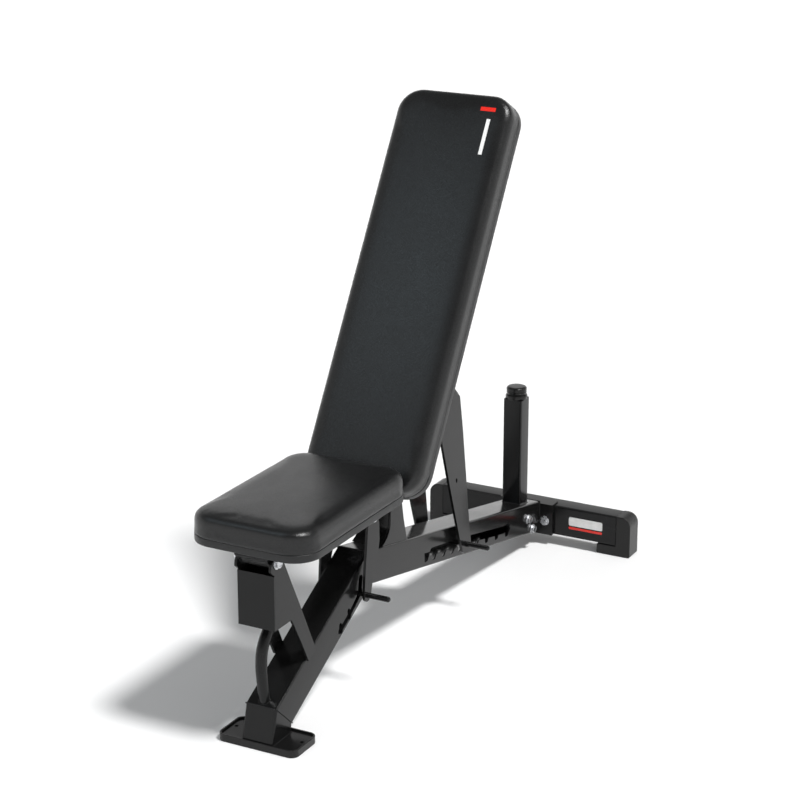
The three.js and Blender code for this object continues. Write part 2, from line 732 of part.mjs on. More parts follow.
function buildSeat() {
  const boardLow = SEAT.underside;
  const boardHigh = boardLow + PAD_BOARD;
  const plateHigh = boardLow - GAP;
  const plateLow = plateHigh - SEAT_SCREWS.plate;
  const middle = (SEAT.front + SEAT.rear) / 2;
  const footprint = rectangle(2 * SEAT.half, SEAT.rear - SEAT.front, PAD_CORNER);
  const board = flatPlate(footprint, boardLow, boardHigh).translate([0, middle, 0]);

  const screws = { front: SEAT_BRACKET.screw, rear: SEAT_CROSS.screw };
  const holes = Object.values(screws).map((y) => screwHole(0, y, plateLow - 1, boardLow + 11));
  addNode("seat_base_board", cut(board, ...holes), BOARD);
  addNode("seat_cushion", cushion(SEAT.half, SEAT.front, SEAT.rear, boardHigh + GAP), UPHOLSTERY);
  for (const [place, y] of Object.entries(screws)) {
    addNode(`seat_screw_${place}`, boardScrew(0, y, plateLow - GAP, 12), ZINC);
  }
  const half = SEAT_LUG.inner - GAP;
  const cross = block([-half, SEAT_CROSS.front, plateLow], [half, SEAT_CROSS.rear, plateHigh]);
  addNode("seat_cross_plate", cut(cross, ...holes), PAINT);

  // Each rail is a flat bar on edge under the board that widens into the strut's lug.
  const { top } = SEAT_LINK;
  const rail = new THREE.Shape();
  rail.moveTo(-575, plateHigh);
  rail.lineTo(-246, plateHigh);
  rail.lineTo(-246, top.z);
  rail.absarc(top.y, top.z, 16, 0, -Math.PI, true);
  rail.lineTo(-300, 404);
  rail.lineTo(-560, 404);
  rail.lineTo(-575, 412);
  rail.closePath();
  const lugHole = bar(STRUT_PIN.radius + GAP, -FAR, FAR, top);
  onBothSides((side, name) => {
    const plate = sidePlate(rail, ...across(side, SEAT_LUG.inner, SEAT_LUG.outer));
    addNode(`seat_rail_${name}`, cut(plate, lugHole), PAINT);
  });

  buildSeatBracket(plateLow, plateHigh, holes);
}

// A folded bracket: a plate under the board, a slanting front lip and two cheeks round the hinge.
function buildSeatBracket(plateLow, plateHigh, screwHoles) {
  const half = SIDE_PLATE.inner - 2 * GAP;
  const lip = outline([
    [-634, 390],
    [-651.5, 412],
    [-651.5, plateHigh],
    [SEAT_BRACKET.rear, plateHigh],
    [SEAT_BRACKET.rear, plateLow],
    [-648, plateLow],
    [-648, 413],
    [-630.5, 391.5],
  ]);
  const cheek = new THREE.Shape();
  cheek.moveTo(-648, plateLow + 1);
  cheek.lineTo(-648, 414);
  cheek.lineTo(SEAT_HINGE.y - 15, SEAT_HINGE.z - 2);
  cheek.absarc(SEAT_HINGE.y, SEAT_HINGE.z, 16, Math.PI * 1.04, Math.PI * 1.9, false);
  cheek.lineTo(-585, plateLow + 1);
  cheek.closePath();
  const cheeks = [-1, 1].map((side) => sidePlate(cheek, ...across(side, half - 5, half)));
  const hole = bar(SEAT_BOLT.radius + 4, -FAR, FAR, SEAT_HINGE);
  const bracket = join(sidePlate(lip, -half, half), ...cheeks);
  addNode("seat_front_bracket", cut(bracket, hole, ...screwHoles), PAINT);

  const bush = bar(SEAT_BOLT.radius + 4 - GAP, -half, half, SEAT_HINGE);
  addNode("seat_pivot_bush", cut(bush, bar(SEAT_BOLT.radius + GAP, -FAR, FAR, SEAT_HINGE)), BRONZE);
}

// ---------------------------------------------------------------------------------------------
// Back, drawn in the back group's frame: y up along the board, z out of the cushion
// ---------------------------------------------------------------------------------------------
const SPINE = { half: 21, low: 4, high: 600, depth: 30 };
const BACK_PLATES = { lower: [42, 112], upper: [470, 540] };
const BACK_PLATE_HALF = 85;
const REST_PLATE = { half: 60, low: 640, high: 738, depth: 9.7 };

// A (y, z) point of the bench as a point of the back group's frame.
function inBackFrame({ y, z }) {
  const point = turned({ y: y - BACK.y, z: z - BACK.z }, { y: 0, z: 0 }, -BACK.tilt);
  return point;
}

function buildBack() {
  const add = (name, shape, look) => addNode(name, shape, look, backGroup);
  const boardLow = -PAD_BOARD;
  const plateHigh = boardLow - GAP;
  const plateLow = plateHigh - SEAT_SCREWS.plate;
  const middle = BACK.length / 2;
  const footprint = rectangle(2 * BACK.half, BACK.length, PAD_CORNER);

  const screws = [];
  for (const [place, [low, high]] of Object.entries(BACK_PLATES)) {
    onBothSides((side, name) => {
      screws.push({ node: `back_screw_${place}_${name}`, x: side * 66, y: (low + high) / 2 });
    });
  }
  const holes = screws.map(({ x, y }) => screwHole(x, y, plateLow - 1, boardLow + 11));
  const board = flatPlate(footprint, boardLow, 0).translate([0, middle, 0]);
  add("back_base_board", cut(board, ...holes), BOARD);
  add("back_cushion", cushion(BACK.half, 0, BACK.length, GAP), UPHOLSTERY);
  for (const { node, x, y } of screws) add(node, boardScrew(x, y, plateLow - GAP, 12), ZINC);
  for (const [place, [low, high]] of Object.entries(BACK_PLATES)) {
    const plate = block([-BACK_PLATE_HALF, low, plateLow], [BACK_PLATE_HALF, high, plateHigh]);
    add(`back_mount_plate_${place}`, cut(plate, ...holes), PAINT);
  }
  const rest = REST_PLATE;
  add(
    "back_rest_plate",
    block([-rest.half, rest.low, plateHigh - rest.depth], [rest.half, rest.high, plateHigh]),
    PAINT,
  );

  const spineHigh = plateLow - GAP;
  const section = hollowSection(2 * SPINE.half, SPINE.depth, 4);
  const spine = extruded(section, SPINE.high - SPINE.low, TUBE_STEPS).rotateX(-Math.PI / 2);
  add("back_spine", solid(spine.translate(0, SPINE.low, spineHigh - SPINE.depth / 2)), PAINT);

  // Hinge plates lie against the spine and reach back to the hinge.
  const hinge = inBackFrame(BACK_HINGE);
  const spineFloor = spineHigh - SPINE.depth;
  const hingeShape = new THREE.Shape();
  hingeShape.moveTo(6, spineHigh);
  hingeShape.lineTo(hinge.y - 18, hinge.z);
  hingeShape.absarc(hinge.y, hinge.z, 18, Math.PI, 2 * Math.PI, false);
  hingeShape.lineTo(112, spineFloor - 4);
  hingeShape.lineTo(126, spineHigh);
  hingeShape.closePath();
  const hingeHole = bar(BACK_BOLT.radius + 4, -FAR, FAR, hinge);
  const hingeInner = SPINE.half + GAP;
  onBothSides((side, name) => {
    const plate = sidePlate(hingeShape, ...across(side, hingeInner, hingeInner + 6));
    add(`back_hinge_plate_${name}`, cut(plate, hingeHole), PAINT);
  });
  const bushHalf = RISER.inner - GAP;
  const bush = bar(BACK_BOLT.radius + 4 - GAP, -bushHalf, bushHalf, hinge);
  add("back_pivot_bush", cut(bush, bar(BACK_BOLT.radius + GAP, -FAR, FAR, hinge)), BRONZE);

  // Lugs run from the board to the strut's hinge, joined to the spine by a cross tube.
  const top = inBackFrame(BACK_LINK.top);
  const lug = new THREE.Shape();
  lug.moveTo(150, plateHigh);
  lug.lineTo(top.y - 18, top.z + 4);
  lug.absarc(top.y, top.z, 18, Math.PI * 0.93, Math.PI * 2.07, false);
  lug.lineTo(318, plateHigh);
  lug.closePath();
  const lugHole = bar(STRUT_PIN.radius + GAP, -FAR, FAR, top);
  const crossAt = { y: 232, z: spineFloor - GAP - 11 };
  onBothSides((side, name) => {
    const plate = sidePlate(lug, ...across(side, BACK_LUG.inner, BACK_LUG.outer));
    add(`back_lug_${name}`, cut(plate, lugHole), PAINT);
  });
  const crossHalf = BACK_LUG.inner - GAP;
  add("back_cross_bar", bar(11, -crossHalf, crossHalf, crossAt), PAINT);
}

// ---------------------------------------------------------------------------------------------
// The whole bench
// ---------------------------------------------------------------------------------------------
buildLegAndBeam();
buildFoot();
buildGrabHandle();
buildFrontPost();
buildRisers();
buildRearFoot();
buildRearPost();
buildSeatStrut();
buildBackStrut();
buildSeat();
buildBack();

export default bench;
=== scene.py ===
"""Adjustable weight bench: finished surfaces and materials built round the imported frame.

Every length below is in metres and every angle in degrees. The frame's axes are +X to the side of
the pull handles, +Y from the seat to the rear foot and +Z up.
"""

import json
import logging
import math
from dataclasses import dataclass, field
from enum import Enum
from typing import Callable, Iterable, Optional, Sequence

import bmesh
import bpy
import numpy as np
from mathutils import Euler, Matrix, Vector


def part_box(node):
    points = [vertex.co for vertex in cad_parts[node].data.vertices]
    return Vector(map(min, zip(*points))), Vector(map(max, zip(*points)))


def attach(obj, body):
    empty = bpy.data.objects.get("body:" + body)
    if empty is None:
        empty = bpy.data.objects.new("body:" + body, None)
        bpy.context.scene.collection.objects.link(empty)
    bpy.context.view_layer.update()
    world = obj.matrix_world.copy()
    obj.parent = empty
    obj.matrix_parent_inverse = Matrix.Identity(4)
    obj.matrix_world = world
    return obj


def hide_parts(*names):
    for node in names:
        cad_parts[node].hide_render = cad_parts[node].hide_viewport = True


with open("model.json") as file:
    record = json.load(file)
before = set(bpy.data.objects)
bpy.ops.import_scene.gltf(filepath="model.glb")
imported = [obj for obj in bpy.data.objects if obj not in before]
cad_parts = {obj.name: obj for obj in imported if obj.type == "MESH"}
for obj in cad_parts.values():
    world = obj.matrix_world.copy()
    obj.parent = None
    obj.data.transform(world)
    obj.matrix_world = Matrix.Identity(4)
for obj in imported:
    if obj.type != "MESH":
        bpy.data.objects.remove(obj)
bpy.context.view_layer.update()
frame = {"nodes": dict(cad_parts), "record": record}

LOG = logging.getLogger("bench")


class Slot(Enum):
    """The record's material slots that the bench's pieces take their finish from."""

    PAINT = "black_paint"
    LEATHER = "upholstery"
    BOARD = "pad_board"
    RUBBER = "rubber"
    ZINC = "zinc_hardware"
    BRONZE = "bronze_bush"


class Body(Enum):
    """The bodies that move on their own."""

    BASE = "base"
    SEAT = "seat"
    SEAT_STRUT = "seat_strut"
    BACK = "back"
    BACK_STRUT = "back_strut"


# ------------------------------------------------------------------------------------------------
# Surfaces
# ------------------------------------------------------------------------------------------------
@dataclass(frozen=True)
class Shell:
    """Points with the faces of one or more closed surfaces."""

    points: np.ndarray
    quads: np.ndarray
    tris: np.ndarray

    def outward(self) -> "Shell":
        """Turns the faces round if the enclosed volume, a third of the sum of each face's dot
        product of corner and area, comes out negative.

        Returns:
            The shell with its faces outwards.
        """
        q, t, p = self.quads, self.tris, self.points
        both = np.concatenate([q[:, [0, 1, 2]], q[:, [0, 2, 3]], t])
        a, b, c = p[both[:, 0]], p[both[:, 1]], p[both[:, 2]]
        if np.einsum("ij,ij->i", a, np.cross(b, c)).sum() < 0:
            return Shell(p, q[:, ::-1], t[:, ::-1])
        return self

    def placed(self, matrix: Matrix) -> "Shell":
        """Carries the points by a rigid placement.

        Args:
            matrix: where the shell's own axes lie in the frame.

        Returns:
            The shell in its place.
        """
        m = np.array(matrix)
        return Shell(self.points @ m[:3, :3].T + m[:3, 3], self.quads, self.tris)

    def to_object(self, name: str, sharp: float = 40.0) -> bpy.types.Object:
        """Puts the shell in a mesh object.

        Args:
            name: the piece's name.
            sharp: edges that turn by more degrees than this stay sharp.

        Returns:
            The linked object.
        """
        mesh = bpy.data.meshes.new(name)
        mesh.vertices.add(len(self.points))
        mesh.vertices.foreach_set("co", self.points.astype(np.float32).ravel())
        corners = np.concatenate([self.quads.ravel(), self.tris.ravel()]).astype(np.int32)
        sizes = np.concatenate([np.full(len(self.quads), 4), np.full(len(self.tris), 3)])
        mesh.loops.add(len(corners))
        mesh.loops.foreach_set("vertex_index", corners)
        mesh.polygons.add(len(sizes))
        starts = np.concatenate([[0], np.cumsum(sizes)[:-1]])
        mesh.polygons.foreach_set("loop_start", starts.astype(np.int32))
        mesh.update(calc_edges=True)
        mesh.validate()
        mesh.shade_smooth()
        mesh.set_sharp_from_angle(angle=math.radians(sharp))
        piece = bpy.data.objects.new(name, mesh)
        bpy.context.scene.collection.objects.link(piece)
        return piece


def joined(shells: Iterable[Shell]) -> Shell:
    """Several shells as one, each with its own closed surface."""
    points, quads, tris, count = [], [], [], 0
    for shell in shells:
        points.append(shell.points)
        quads.append(shell.quads + count)
        tris.append(shell.tris + count)
        count += len(shell.points)
    return Shell(np.concatenate(points), np.concatenate(quads), np.concatenate(tris))


def lofted(rings: np.ndarray) -> Shell:
    """A surface through closed rings, shut at both ends by a fan to the ring's middle.

    Args:
        rings: ring, point and coordinate, each ring going the same way round.

    Returns:
        The closed shell, faces outwards.
    """
    rows, columns, _ = rings.shape
    row = np.arange(rows - 1)[:, None] * columns
    column = np.arange(columns)[None, :]
    after = (column + 1) % columns
    quads = np.stack(
        [row + column, row + after, row + columns + after, row + columns + column], -1
    ).reshape(-1, 4)
    first, last = rows * columns, rows * columns + 1
    around, beyond = np.arange(columns), (np.arange(columns) + 1) % columns
    end = (rows - 1) * columns
    tris = np.concatenate(
        [
            np.stack([np.full(columns, first), beyond, around], -1),
            np.stack([np.full(columns, last), end + around, end + beyond], -1),
        ]
    )
    middles = np.stack([rings[0].mean(0), rings[-1].mean(0)])
    return Shell(np.concatenate([rings.reshape(-1, 3), middles]), quads, tris).outward()


def lathe(profile: Sequence[tuple[float, float]], sides: int = 48) -> Shell:
    """A body turned about Z: each (radius, height) of the profile becomes a circle of points at
    (radius cos a, radius sin a, height).

    Args:
        profile: from one end of the body to the other.
        sides: points in each circle.

    Returns:
        The closed shell.
    """
    angle = np.linspace(0, 2 * math.pi, sides, endpoint=False)
    radius, height = np.array(profile, float).T
    rings = np.stack(
        [
            radius[:, None] * np.cos(angle),
            radius[:, None] * np.sin(angle),
            np.repeat(height[:, None], sides, 1),
        ],
        -1,
    )
    return lofted(rings)


def smooth_path(corners: Sequence[Sequence[float]], steps: int) -> np.ndarray:
    """A Catmull-Rom curve through the corners: on each stretch the point is half of
    2 b + (c - a) t + (2 a - 5 b + 4 c - d) t^2 + (3 b - a - 3 c + d) t^3.

    Args:
        corners: three-coordinate points.
        steps: points on each stretch.

    Returns:
        Points along the curve, both ends included.
    """
    p = np.array(corners, float)
    p = np.concatenate([[2 * p[0] - p[1]], p, [2 * p[-1] - p[-2]]])
    a, b, c, d = p[:-3, None], p[1:-2, None], p[2:-1, None], p[3:, None]
    t = (np.arange(steps) / steps)[None, :, None]
    curve = 0.5 * (
        2 * b + (c - a) * t + (2 * a - 5 * b + 4 * c - d) * t**2 + (3 * b - a - 3 * c + d) * t**3
    )
    return np.concatenate([curve.reshape(-1, 3), p[-2:-1]])


def rail(path: np.ndarray, radius: np.ndarray, sides: int = 24) -> Shell:
    """A round bar along a path. Each ring is spanned by the path's normal and binormal, found by
    sliding one fixed side vector along the path and taking out its part along the path.

    Args:
        path: centreline points.
        radius: the bar's radius at each of them.
        sides: points round the bar.

    Returns:
        The closed shell.
    """
    along = np.gradient(path, axis=0)
    along /= np.linalg.norm(along, axis=1, keepdims=True)
    spread = np.abs(along).max(0)
    side = np.eye(3)[int(np.argmin(spread))]
    normal = side - (along @ side)[:, None] * along
    normal /= np.linalg.norm(normal, axis=1, keepdims=True)
    binormal = np.cross(along, normal)
    angle = np.linspace(0, 2 * math.pi, sides, endpoint=False)[None, :, None]
    ring = np.cos(angle) * normal[:, None] + np.sin(angle) * binormal[:, None]
    return lofted(path[:, None] + radius[:, None, None] * ring)


def rounded_ring(half_x: float, half_y: float, corner: float, steps: int) -> np.ndarray:
    """The outline of a rounded rectangle: four quarter circles, each about its own corner centre,
    with straight runs of evenly spaced points between them.

    Args:
        half_x: half its width.
        half_y: half its length.
        corner: radius of its corners.
        steps: points in each corner's arc and on each straight run.

    Returns:
        Points in (x, y), one turn.
    """
    corner = min(corner, half_x, half_y)
    sign = np.array([[1, 1], [-1, 1], [-1, -1], [1, -1]], float)
    centres = sign * [half_x - corner, half_y - corner]
    quarter = np.linspace(0, math.pi / 2, steps)
    angle = quarter[None, :] + np.arange(4)[:, None] * math.pi / 2
    arcs = centres[:, None] + corner * np.stack([np.cos(angle), np.sin(angle)], -1)
    t = (np.arange(1, steps) / steps)[None, :, None]
    runs = arcs[:, -1:] * (1 - t) + np.roll(arcs[:, :1], -1, 0) * t
    return np.concatenate([arcs, runs], 1).reshape(-1, 2)


def slab(
    half_x: float, half_y: float, corner: float, profile: Sequence[tuple[float, float]], steps: int = 14
) -> Shell:
    """A rounded rectangle carried up a profile of (inset, height): each ring is the outline drawn
    in by the inset, at that height.

    Args:
        half_x: half the full width.
        half_y: half the full length.
        corner: the full outline's corner radius.
        profile: insets and heights from below to above.
        steps: points in each corner and run.

    Returns:
        The closed shell.
    """
    rings = []
    for inset, height in profile:
        flat = rounded_ring(half_x - inset, half_y - inset, max(corner - inset, 0.004), steps)
        rings.append(np.column_stack([flat, np.full(len(flat), height)]))
    return lofted(np.stack(rings))


def axis_frame(at: Sequence[float], axis: Sequence[float]) -> Matrix:
    """A placement whose +Z lies along an axis, with its origin at a point."""
    turn = Vector(axis).to_track_quat("Z", "Y").to_matrix().to_4x4()
    return Matrix.Translation(Vector(at)) @ turn


# ------------------------------------------------------------------------------------------------
# Shader groups
# ------------------------------------------------------------------------------------------------
class Wiring:
    """Adds nodes to a tree and joins them by socket name."""

    def __init__(self, tree: bpy.types.NodeTree) -> None:
        """Keeps the tree, emptied."""
        self.tree = tree
        tree.nodes.clear()
        self.count = 0

    def add(self, kind: str, settings: Optional[dict] = None, **inputs: object) -> bpy.types.Node:
        """Adds a node.

        Args:
            kind: the node's type after "ShaderNode".
            settings: properties of the node itself.
            inputs: a value, or another node's output, for each socket; a socket's number is
                written as i0, i1 and so on, and an underscore stands for a space.

        Returns:
            The node.
        """
        node = self.tree.nodes.new("ShaderNode" + kind)
        node.location = (220 * (self.count % 8), -260 * (self.count // 8))
        self.count += 1
        for key, value in (settings or {}).items():
            setattr(node, key, value)
        for key, value in inputs.items():
            numbered = key[0] == "i" and key[1:].isdigit()
            socket = node.inputs[int(key[1:]) if numbered else key.replace("_", " ")]
            if isinstance(value, bpy.types.NodeSocket):
                self.tree.links.new(value, socket)
            else:
                socket.default_value = value
        return node

    def math(
        self, operation: str, a: object, b: object = 0.0, clamp: bool = False
    ) -> bpy.types.NodeSocket:
        """The output of a Math node on two values or sockets."""
        return self.add("Math", {"operation": operation, "use_clamp": clamp}, i0=a, i1=b).outputs[0]

    def ramp(
        self, value: bpy.types.NodeSocket, low: float, high: float, start: float, end: float
    ) -> bpy.types.NodeSocket:
        """A value taken from the range low to high onto the range start to end, clamped."""
        ranges = {"From_Min": low, "From_Max": high, "To_Min": start, "To_Max": end}
        return self.add("MapRange", None, Value=value, **ranges).outputs["Result"]

    def blend(self, share: object, a: object, b: object) -> bpy.types.NodeSocket:
        """The colour between a and b at a share."""
        node = self.add("Mix", {"data_type": "RGBA"})
        for index, value in ((0, share), (6, a), (7, b)):
            if isinstance(value, bpy.types.NodeSocket):
                self.tree.links.new(value, node.inputs[index])
            else:
                node.inputs[index].default_value = value
        return node.outputs[2]


def shader_group(
    name: str,
    inputs: dict[str, float],
    outputs: Sequence[str],
    wire: Callable[[Wiring, dict], dict],
) -> bpy.types.NodeTree:
    """Builds a shader node group once.

    Args:
        name: the group's name.
        inputs: its value sockets and what they hold unless set.
        outputs: its value sockets on the way out.
        wire: joins the group's nodes; takes the wiring and the input sockets, gives the outputs.

    Returns:
        The group.
    """
    tree = bpy.data.node_groups.new(name, "ShaderNodeTree")
    wiring = Wiring(tree)
    tree.interface.new_socket("Vector", in_out="INPUT", socket_type="NodeSocketVector")
    for label, value in inputs.items():
        socket = tree.interface.new_socket(label, in_out="INPUT", socket_type="NodeSocketFloat")
        socket.default_value = value
    for label in outputs:
        tree.interface.new_socket(label, in_out="OUTPUT", socket_type="NodeSocketFloat")
    entry = tree.nodes.new("NodeGroupInput")
    leave = tree.nodes.new("NodeGroupOutput")
    made = wire(wiring, {s.name: s for s in entry.outputs})
    for label in outputs:
        tree.links.new(made[label], leave.inputs[label])
    return tree


def wire_orange_peel(w: Wiring, given: dict) -> dict:
    """Sprayed paint's skin: two octaves of soft noise, the finer one weaker."""
    place, scale = given["Vector"], given["Scale"]
    coarse = w.add("TexNoise", None, Vector=place, Scale=scale, Detail=2.0, Roughness=0.5)
    fine_scale = w.math("MULTIPLY", scale, 3.7)
    fine = w.add("TexNoise", None, Vector=place, Scale=fine_scale, Detail=1.0)
    height = w.math("ADD", coarse.outputs[0], w.math("MULTIPLY", fine.outputs[0], 0.35))
    return {"Height": height}


def wire_leather_grain(w: Wiring, given: dict) -> dict:
    """Embossed hide: the valleys between jittered cells, bent by noise so no two are alike."""
    bend = w.add("TexNoise", None, Vector=given["Vector"], Scale=given["Bend Scale"], Detail=2.0)
    shift = w.add("VectorMath", {"operation": "SCALE"}, i0=bend.outputs["Color"], Scale=0.0016)
    place = w.add("VectorMath", {"operation": "ADD"}, i0=given["Vector"], i1=shift.outputs[0])
    bent, scale = place.outputs[0], given["Scale"]
    cells = w.add("TexVoronoi", {"feature": "DISTANCE_TO_EDGE"}, Vector=bent, Scale=scale)
    pebble = w.ramp(cells.outputs["Distance"], 0.0, 0.22, 0.0, 1.0)
    pore_scale = w.math("MULTIPLY", scale, 4.0)
    pores = w.add("TexNoise", None, Vector=bent, Scale=pore_scale, Detail=2.0)
    height = w.math("ADD", pebble, w.math("MULTIPLY", pores.outputs[0], 0.4))
    return {"Height": height, "Valley": w.math("SUBTRACT", 1.0, pebble)}


def wire_mottle(w: Wiring, given: dict) -> dict:
    """Slow change of tone over a surface: one low noise, stretched to fill its range."""
    place, scale = given["Vector"], given["Scale"]
    noise = w.add("TexNoise", None, Vector=place, Scale=scale, Detail=4.0, Roughness=0.6)
    return {"Value": w.ramp(noise.outputs[0], 0.3, 0.7, 0.0, 1.0)}


def wire_edge_wear_and_highlight(w: Wiring, given: dict) -> dict:
    """Where the edges are, for rubbed edges and, on the gloss paint, also a painted edge highlight: how
    far a normal rounded over the given radius leans from the surface's own, broken up by noise."""
    rounded = w.add("Bevel", {"samples": 4}, Radius=given["Radius"])
    flat = w.add("NewGeometry")
    both = {"i0": rounded.outputs[0], "i1": flat.outputs["Normal"]}
    facing = w.add("VectorMath", {"operation": "DOT_PRODUCT"}, **both)
    lean = w.ramp(facing.outputs["Value"], 0.99, 0.86, 0.0, 1.0)
    breaks = w.add("TexNoise", None, Vector=given["Vector"], Scale=90.0, Detail=4.0, Roughness=0.7)
    patchy = w.ramp(breaks.outputs[0], 0.42, 0.62, 0.0, 1.0)
    return {"Mask": w.math("MULTIPLY", lean, patchy, clamp=True)}


def wire_dust(w: Wiring, given: dict) -> dict:
    """Settled dust: the share of a surface that faces up, thinned by cloudy and fine noise."""
    normal = w.add("SeparateXYZ", None, Vector=w.add("NewGeometry").outputs["Normal"])
    up = w.ramp(normal.outputs["Z"], 0.35, 1.0, 0.0, 1.0)
    cloud = w.add("TexNoise", None, Vector=given["Vector"], Scale=7.0, Detail=5.0, Roughness=0.65)
    speck = w.add("TexNoise", None, Vector=given["Vector"], Scale=700.0, Detail=1.0)
    clouds = w.ramp(cloud.outputs[0], 0.4, 0.75, 0.0, 1.0)
    specks = w.ramp(speck.outputs[0], 0.4, 0.7, 0.2, 1.0)
    settled = w.math("MULTIPLY", up, w.math("MULTIPLY", clouds, specks))
    return {"Mask": w.math("MULTIPLY", settled, given["Amount"], clamp=True)}


class Effects:
    """The shader groups that several finishes share."""

    def __init__(self) -> None:
        """Builds each group."""
        hide = {"Scale": 700.0, "Bend Scale": 90.0}
        self.peel = shader_group("Orange peel", {"Scale": 260.0}, ["Height"], wire_orange_peel)
        self.grain = shader_group("Leather grain", hide, ["Height", "Valley"], wire_leather_grain)
        self.mottle = shader_group("Mottle", {"Scale": 6.0}, ["Value"], wire_mottle)
        self.wear_and_highlight = shader_group("Edge wear and highlight", {"Radius": 0.0012}, ["Mask"], wire_edge_wear_and_highlight)
        self.dust = shader_group("Settled dust", {"Amount": 0.1}, ["Mask"], wire_dust)


def grey(value: float, warm: float = 0.0) -> tuple[float, float, float, float]:
    """A near-neutral colour, its red raised and blue lowered by the warm share."""
    return (value * (1 + warm), value, value * (1 - warm), 1.0)


@dataclass
class Draft:
    """A material being wired: its nodes, its Principled shader and where its patterns are read."""

    name: str
    effects: Effects
    material: bpy.types.Material = field(init=False)
    wiring: Wiring = field(init=False)
    shader: bpy.types.Node = field(init=False)
    place: bpy.types.NodeSocket = field(init=False)

    def __post_init__(self) -> None:
        """Makes the empty material."""
        self.material = bpy.data.materials.new(self.name)
        self.material.use_nodes = True
        self.wiring = Wiring(self.material.node_tree)
        self.shader = self.wiring.add("BsdfPrincipled")
        out = self.wiring.add("OutputMaterial")
        self.material.node_tree.links.new(self.shader.outputs[0], out.inputs[0])
        self.place = self.wiring.add("TexCoord").outputs["Object"]

    def group(self, tree: bpy.types.NodeTree, **inputs: object) -> bpy.types.Node:
        """Places a shared group, reading this material's coordinates."""
        node = self.wiring.add("Group", {"node_tree": tree}, Vector=self.place)
        for key, value in inputs.items():
            node.inputs[key.replace("_", " ")].default_value = value
        return node

    def set(self, **constants: object) -> None:
        """Sets constants on the shader's own sockets."""
        for key, value in constants.items():
            self.shader.inputs[key.replace("_", " ")].default_value = value

    def feed(self, socket: str, source: bpy.types.NodeSocket) -> None:
        """Feeds one of the shader's sockets."""
        self.material.node_tree.links.new(source, self.shader.inputs[socket])

    def bump(self, height: bpy.types.NodeSocket, distance: float, strength: float) -> None:
        """Turns a height into the shader's normal."""
        node = self.wiring.add("Bump", None, Height=height, Distance=distance, Strength=strength)
        self.feed("Normal", node.outputs[0])


@dataclass(frozen=True)
class GlossPaint:
    """Sprayed and baked gloss paint on steel."""

    name: str = "Gloss black paint"
    colour: float = 0.0055
    # Colour of the lighter edges: rubbed paint, and also a painted highlight along the edges.
    worn_and_highlit: float = 0.06
    roughness: tuple[float, float] = (0.13, 0.22)
    peel_scale: float = 320.0
    peel_height: float = 0.00006
    dust: float = 0.02

    def build(self, effects: Effects) -> bpy.types.Material:
        """Wires orange peel, lighter edges that are rubbed paint and also a painted edge highlight,
        slow gloss change and a trace of dust.
        """
        d = Draft(self.name, effects)
        w = d.wiring
        wear_and_highlight = d.group(effects.wear_and_highlight, Radius=0.0011).outputs["Mask"]
        dust = d.group(effects.dust, Amount=self.dust).outputs["Mask"]
        tone = d.group(effects.mottle, Scale=5.0).outputs["Value"]
        base = w.blend(w.math("MULTIPLY", tone, 0.6), grey(self.colour), grey(self.colour * 1.5, -0.03))
        # Edges are lightened: rubbed paint that also stands in for painted edge highlights.
        base = w.blend(w.math("MULTIPLY", wear_and_highlight, 0.5), base, grey(self.worn_and_highlit))
        d.feed("Base Color", w.blend(dust, base, grey(0.22, 0.05)))
        rough = w.math("ADD", w.ramp(tone, 0.0, 1.0, *self.roughness), w.math("MULTIPLY", wear_and_highlight, 0.12))
        d.feed("Roughness", w.math("ADD", rough, w.math("MULTIPLY", dust, 0.5), clamp=True))
        d.set(Specular_IOR_Level=0.24)
        d.bump(d.group(effects.peel, Scale=self.peel_scale).outputs["Height"], self.peel_height, 0.5)
        return d.material


@dataclass(frozen=True)
class SyntheticLeather:
    """Embossed coated cloth stretched over foam or board."""

    name: str
    colour: float = 0.0065
    roughness: tuple[float, float] = (0.21, 0.28)
    grain_scale: float = 620.0
    grain_height: float = 0.00010
    dust: float = 0.015
    prints: tuple["PrintedBar", ...] = ()

    def build(self, effects: Effects) -> bpy.types.Material:
        """Wires grain, darker valleys, a slow sheen change and any printed bars."""
        d = Draft(self.name, effects)
        w = d.wiring
        grain = d.group(effects.grain, Scale=self.grain_scale)
        tone = d.group(effects.mottle, Scale=9.0).outputs["Value"]
        dust = d.group(effects.dust, Amount=self.dust).outputs["Mask"]
        base = w.blend(tone, grey(self.colour, -0.04), grey(self.colour * 1.3, -0.06))
        valley = w.math("MULTIPLY", grain.outputs["Valley"], 0.45)
        base = w.blend(valley, base, grey(self.colour * 0.45))
        base = w.blend(dust, base, grey(0.25, 0.04))
        for bar in self.prints:
            base = w.blend(bar.mask(w, d.place), base, bar.colour)
        d.feed("Base Color", base)
        rough = w.ramp(tone, 0.0, 1.0, *self.roughness)
        rough = w.math("ADD", rough, w.math("MULTIPLY", grain.outputs["Valley"], 0.12))
        d.feed("Roughness", w.math("ADD", rough, w.math("MULTIPLY", dust, 0.3), clamp=True))
        d.set(Specular_IOR_Level=0.42, Sheen_Weight=0.03, Sheen_Roughness=0.35)
        d.bump(grain.outputs["Height"], self.grain_height, 0.55)
        return d.material


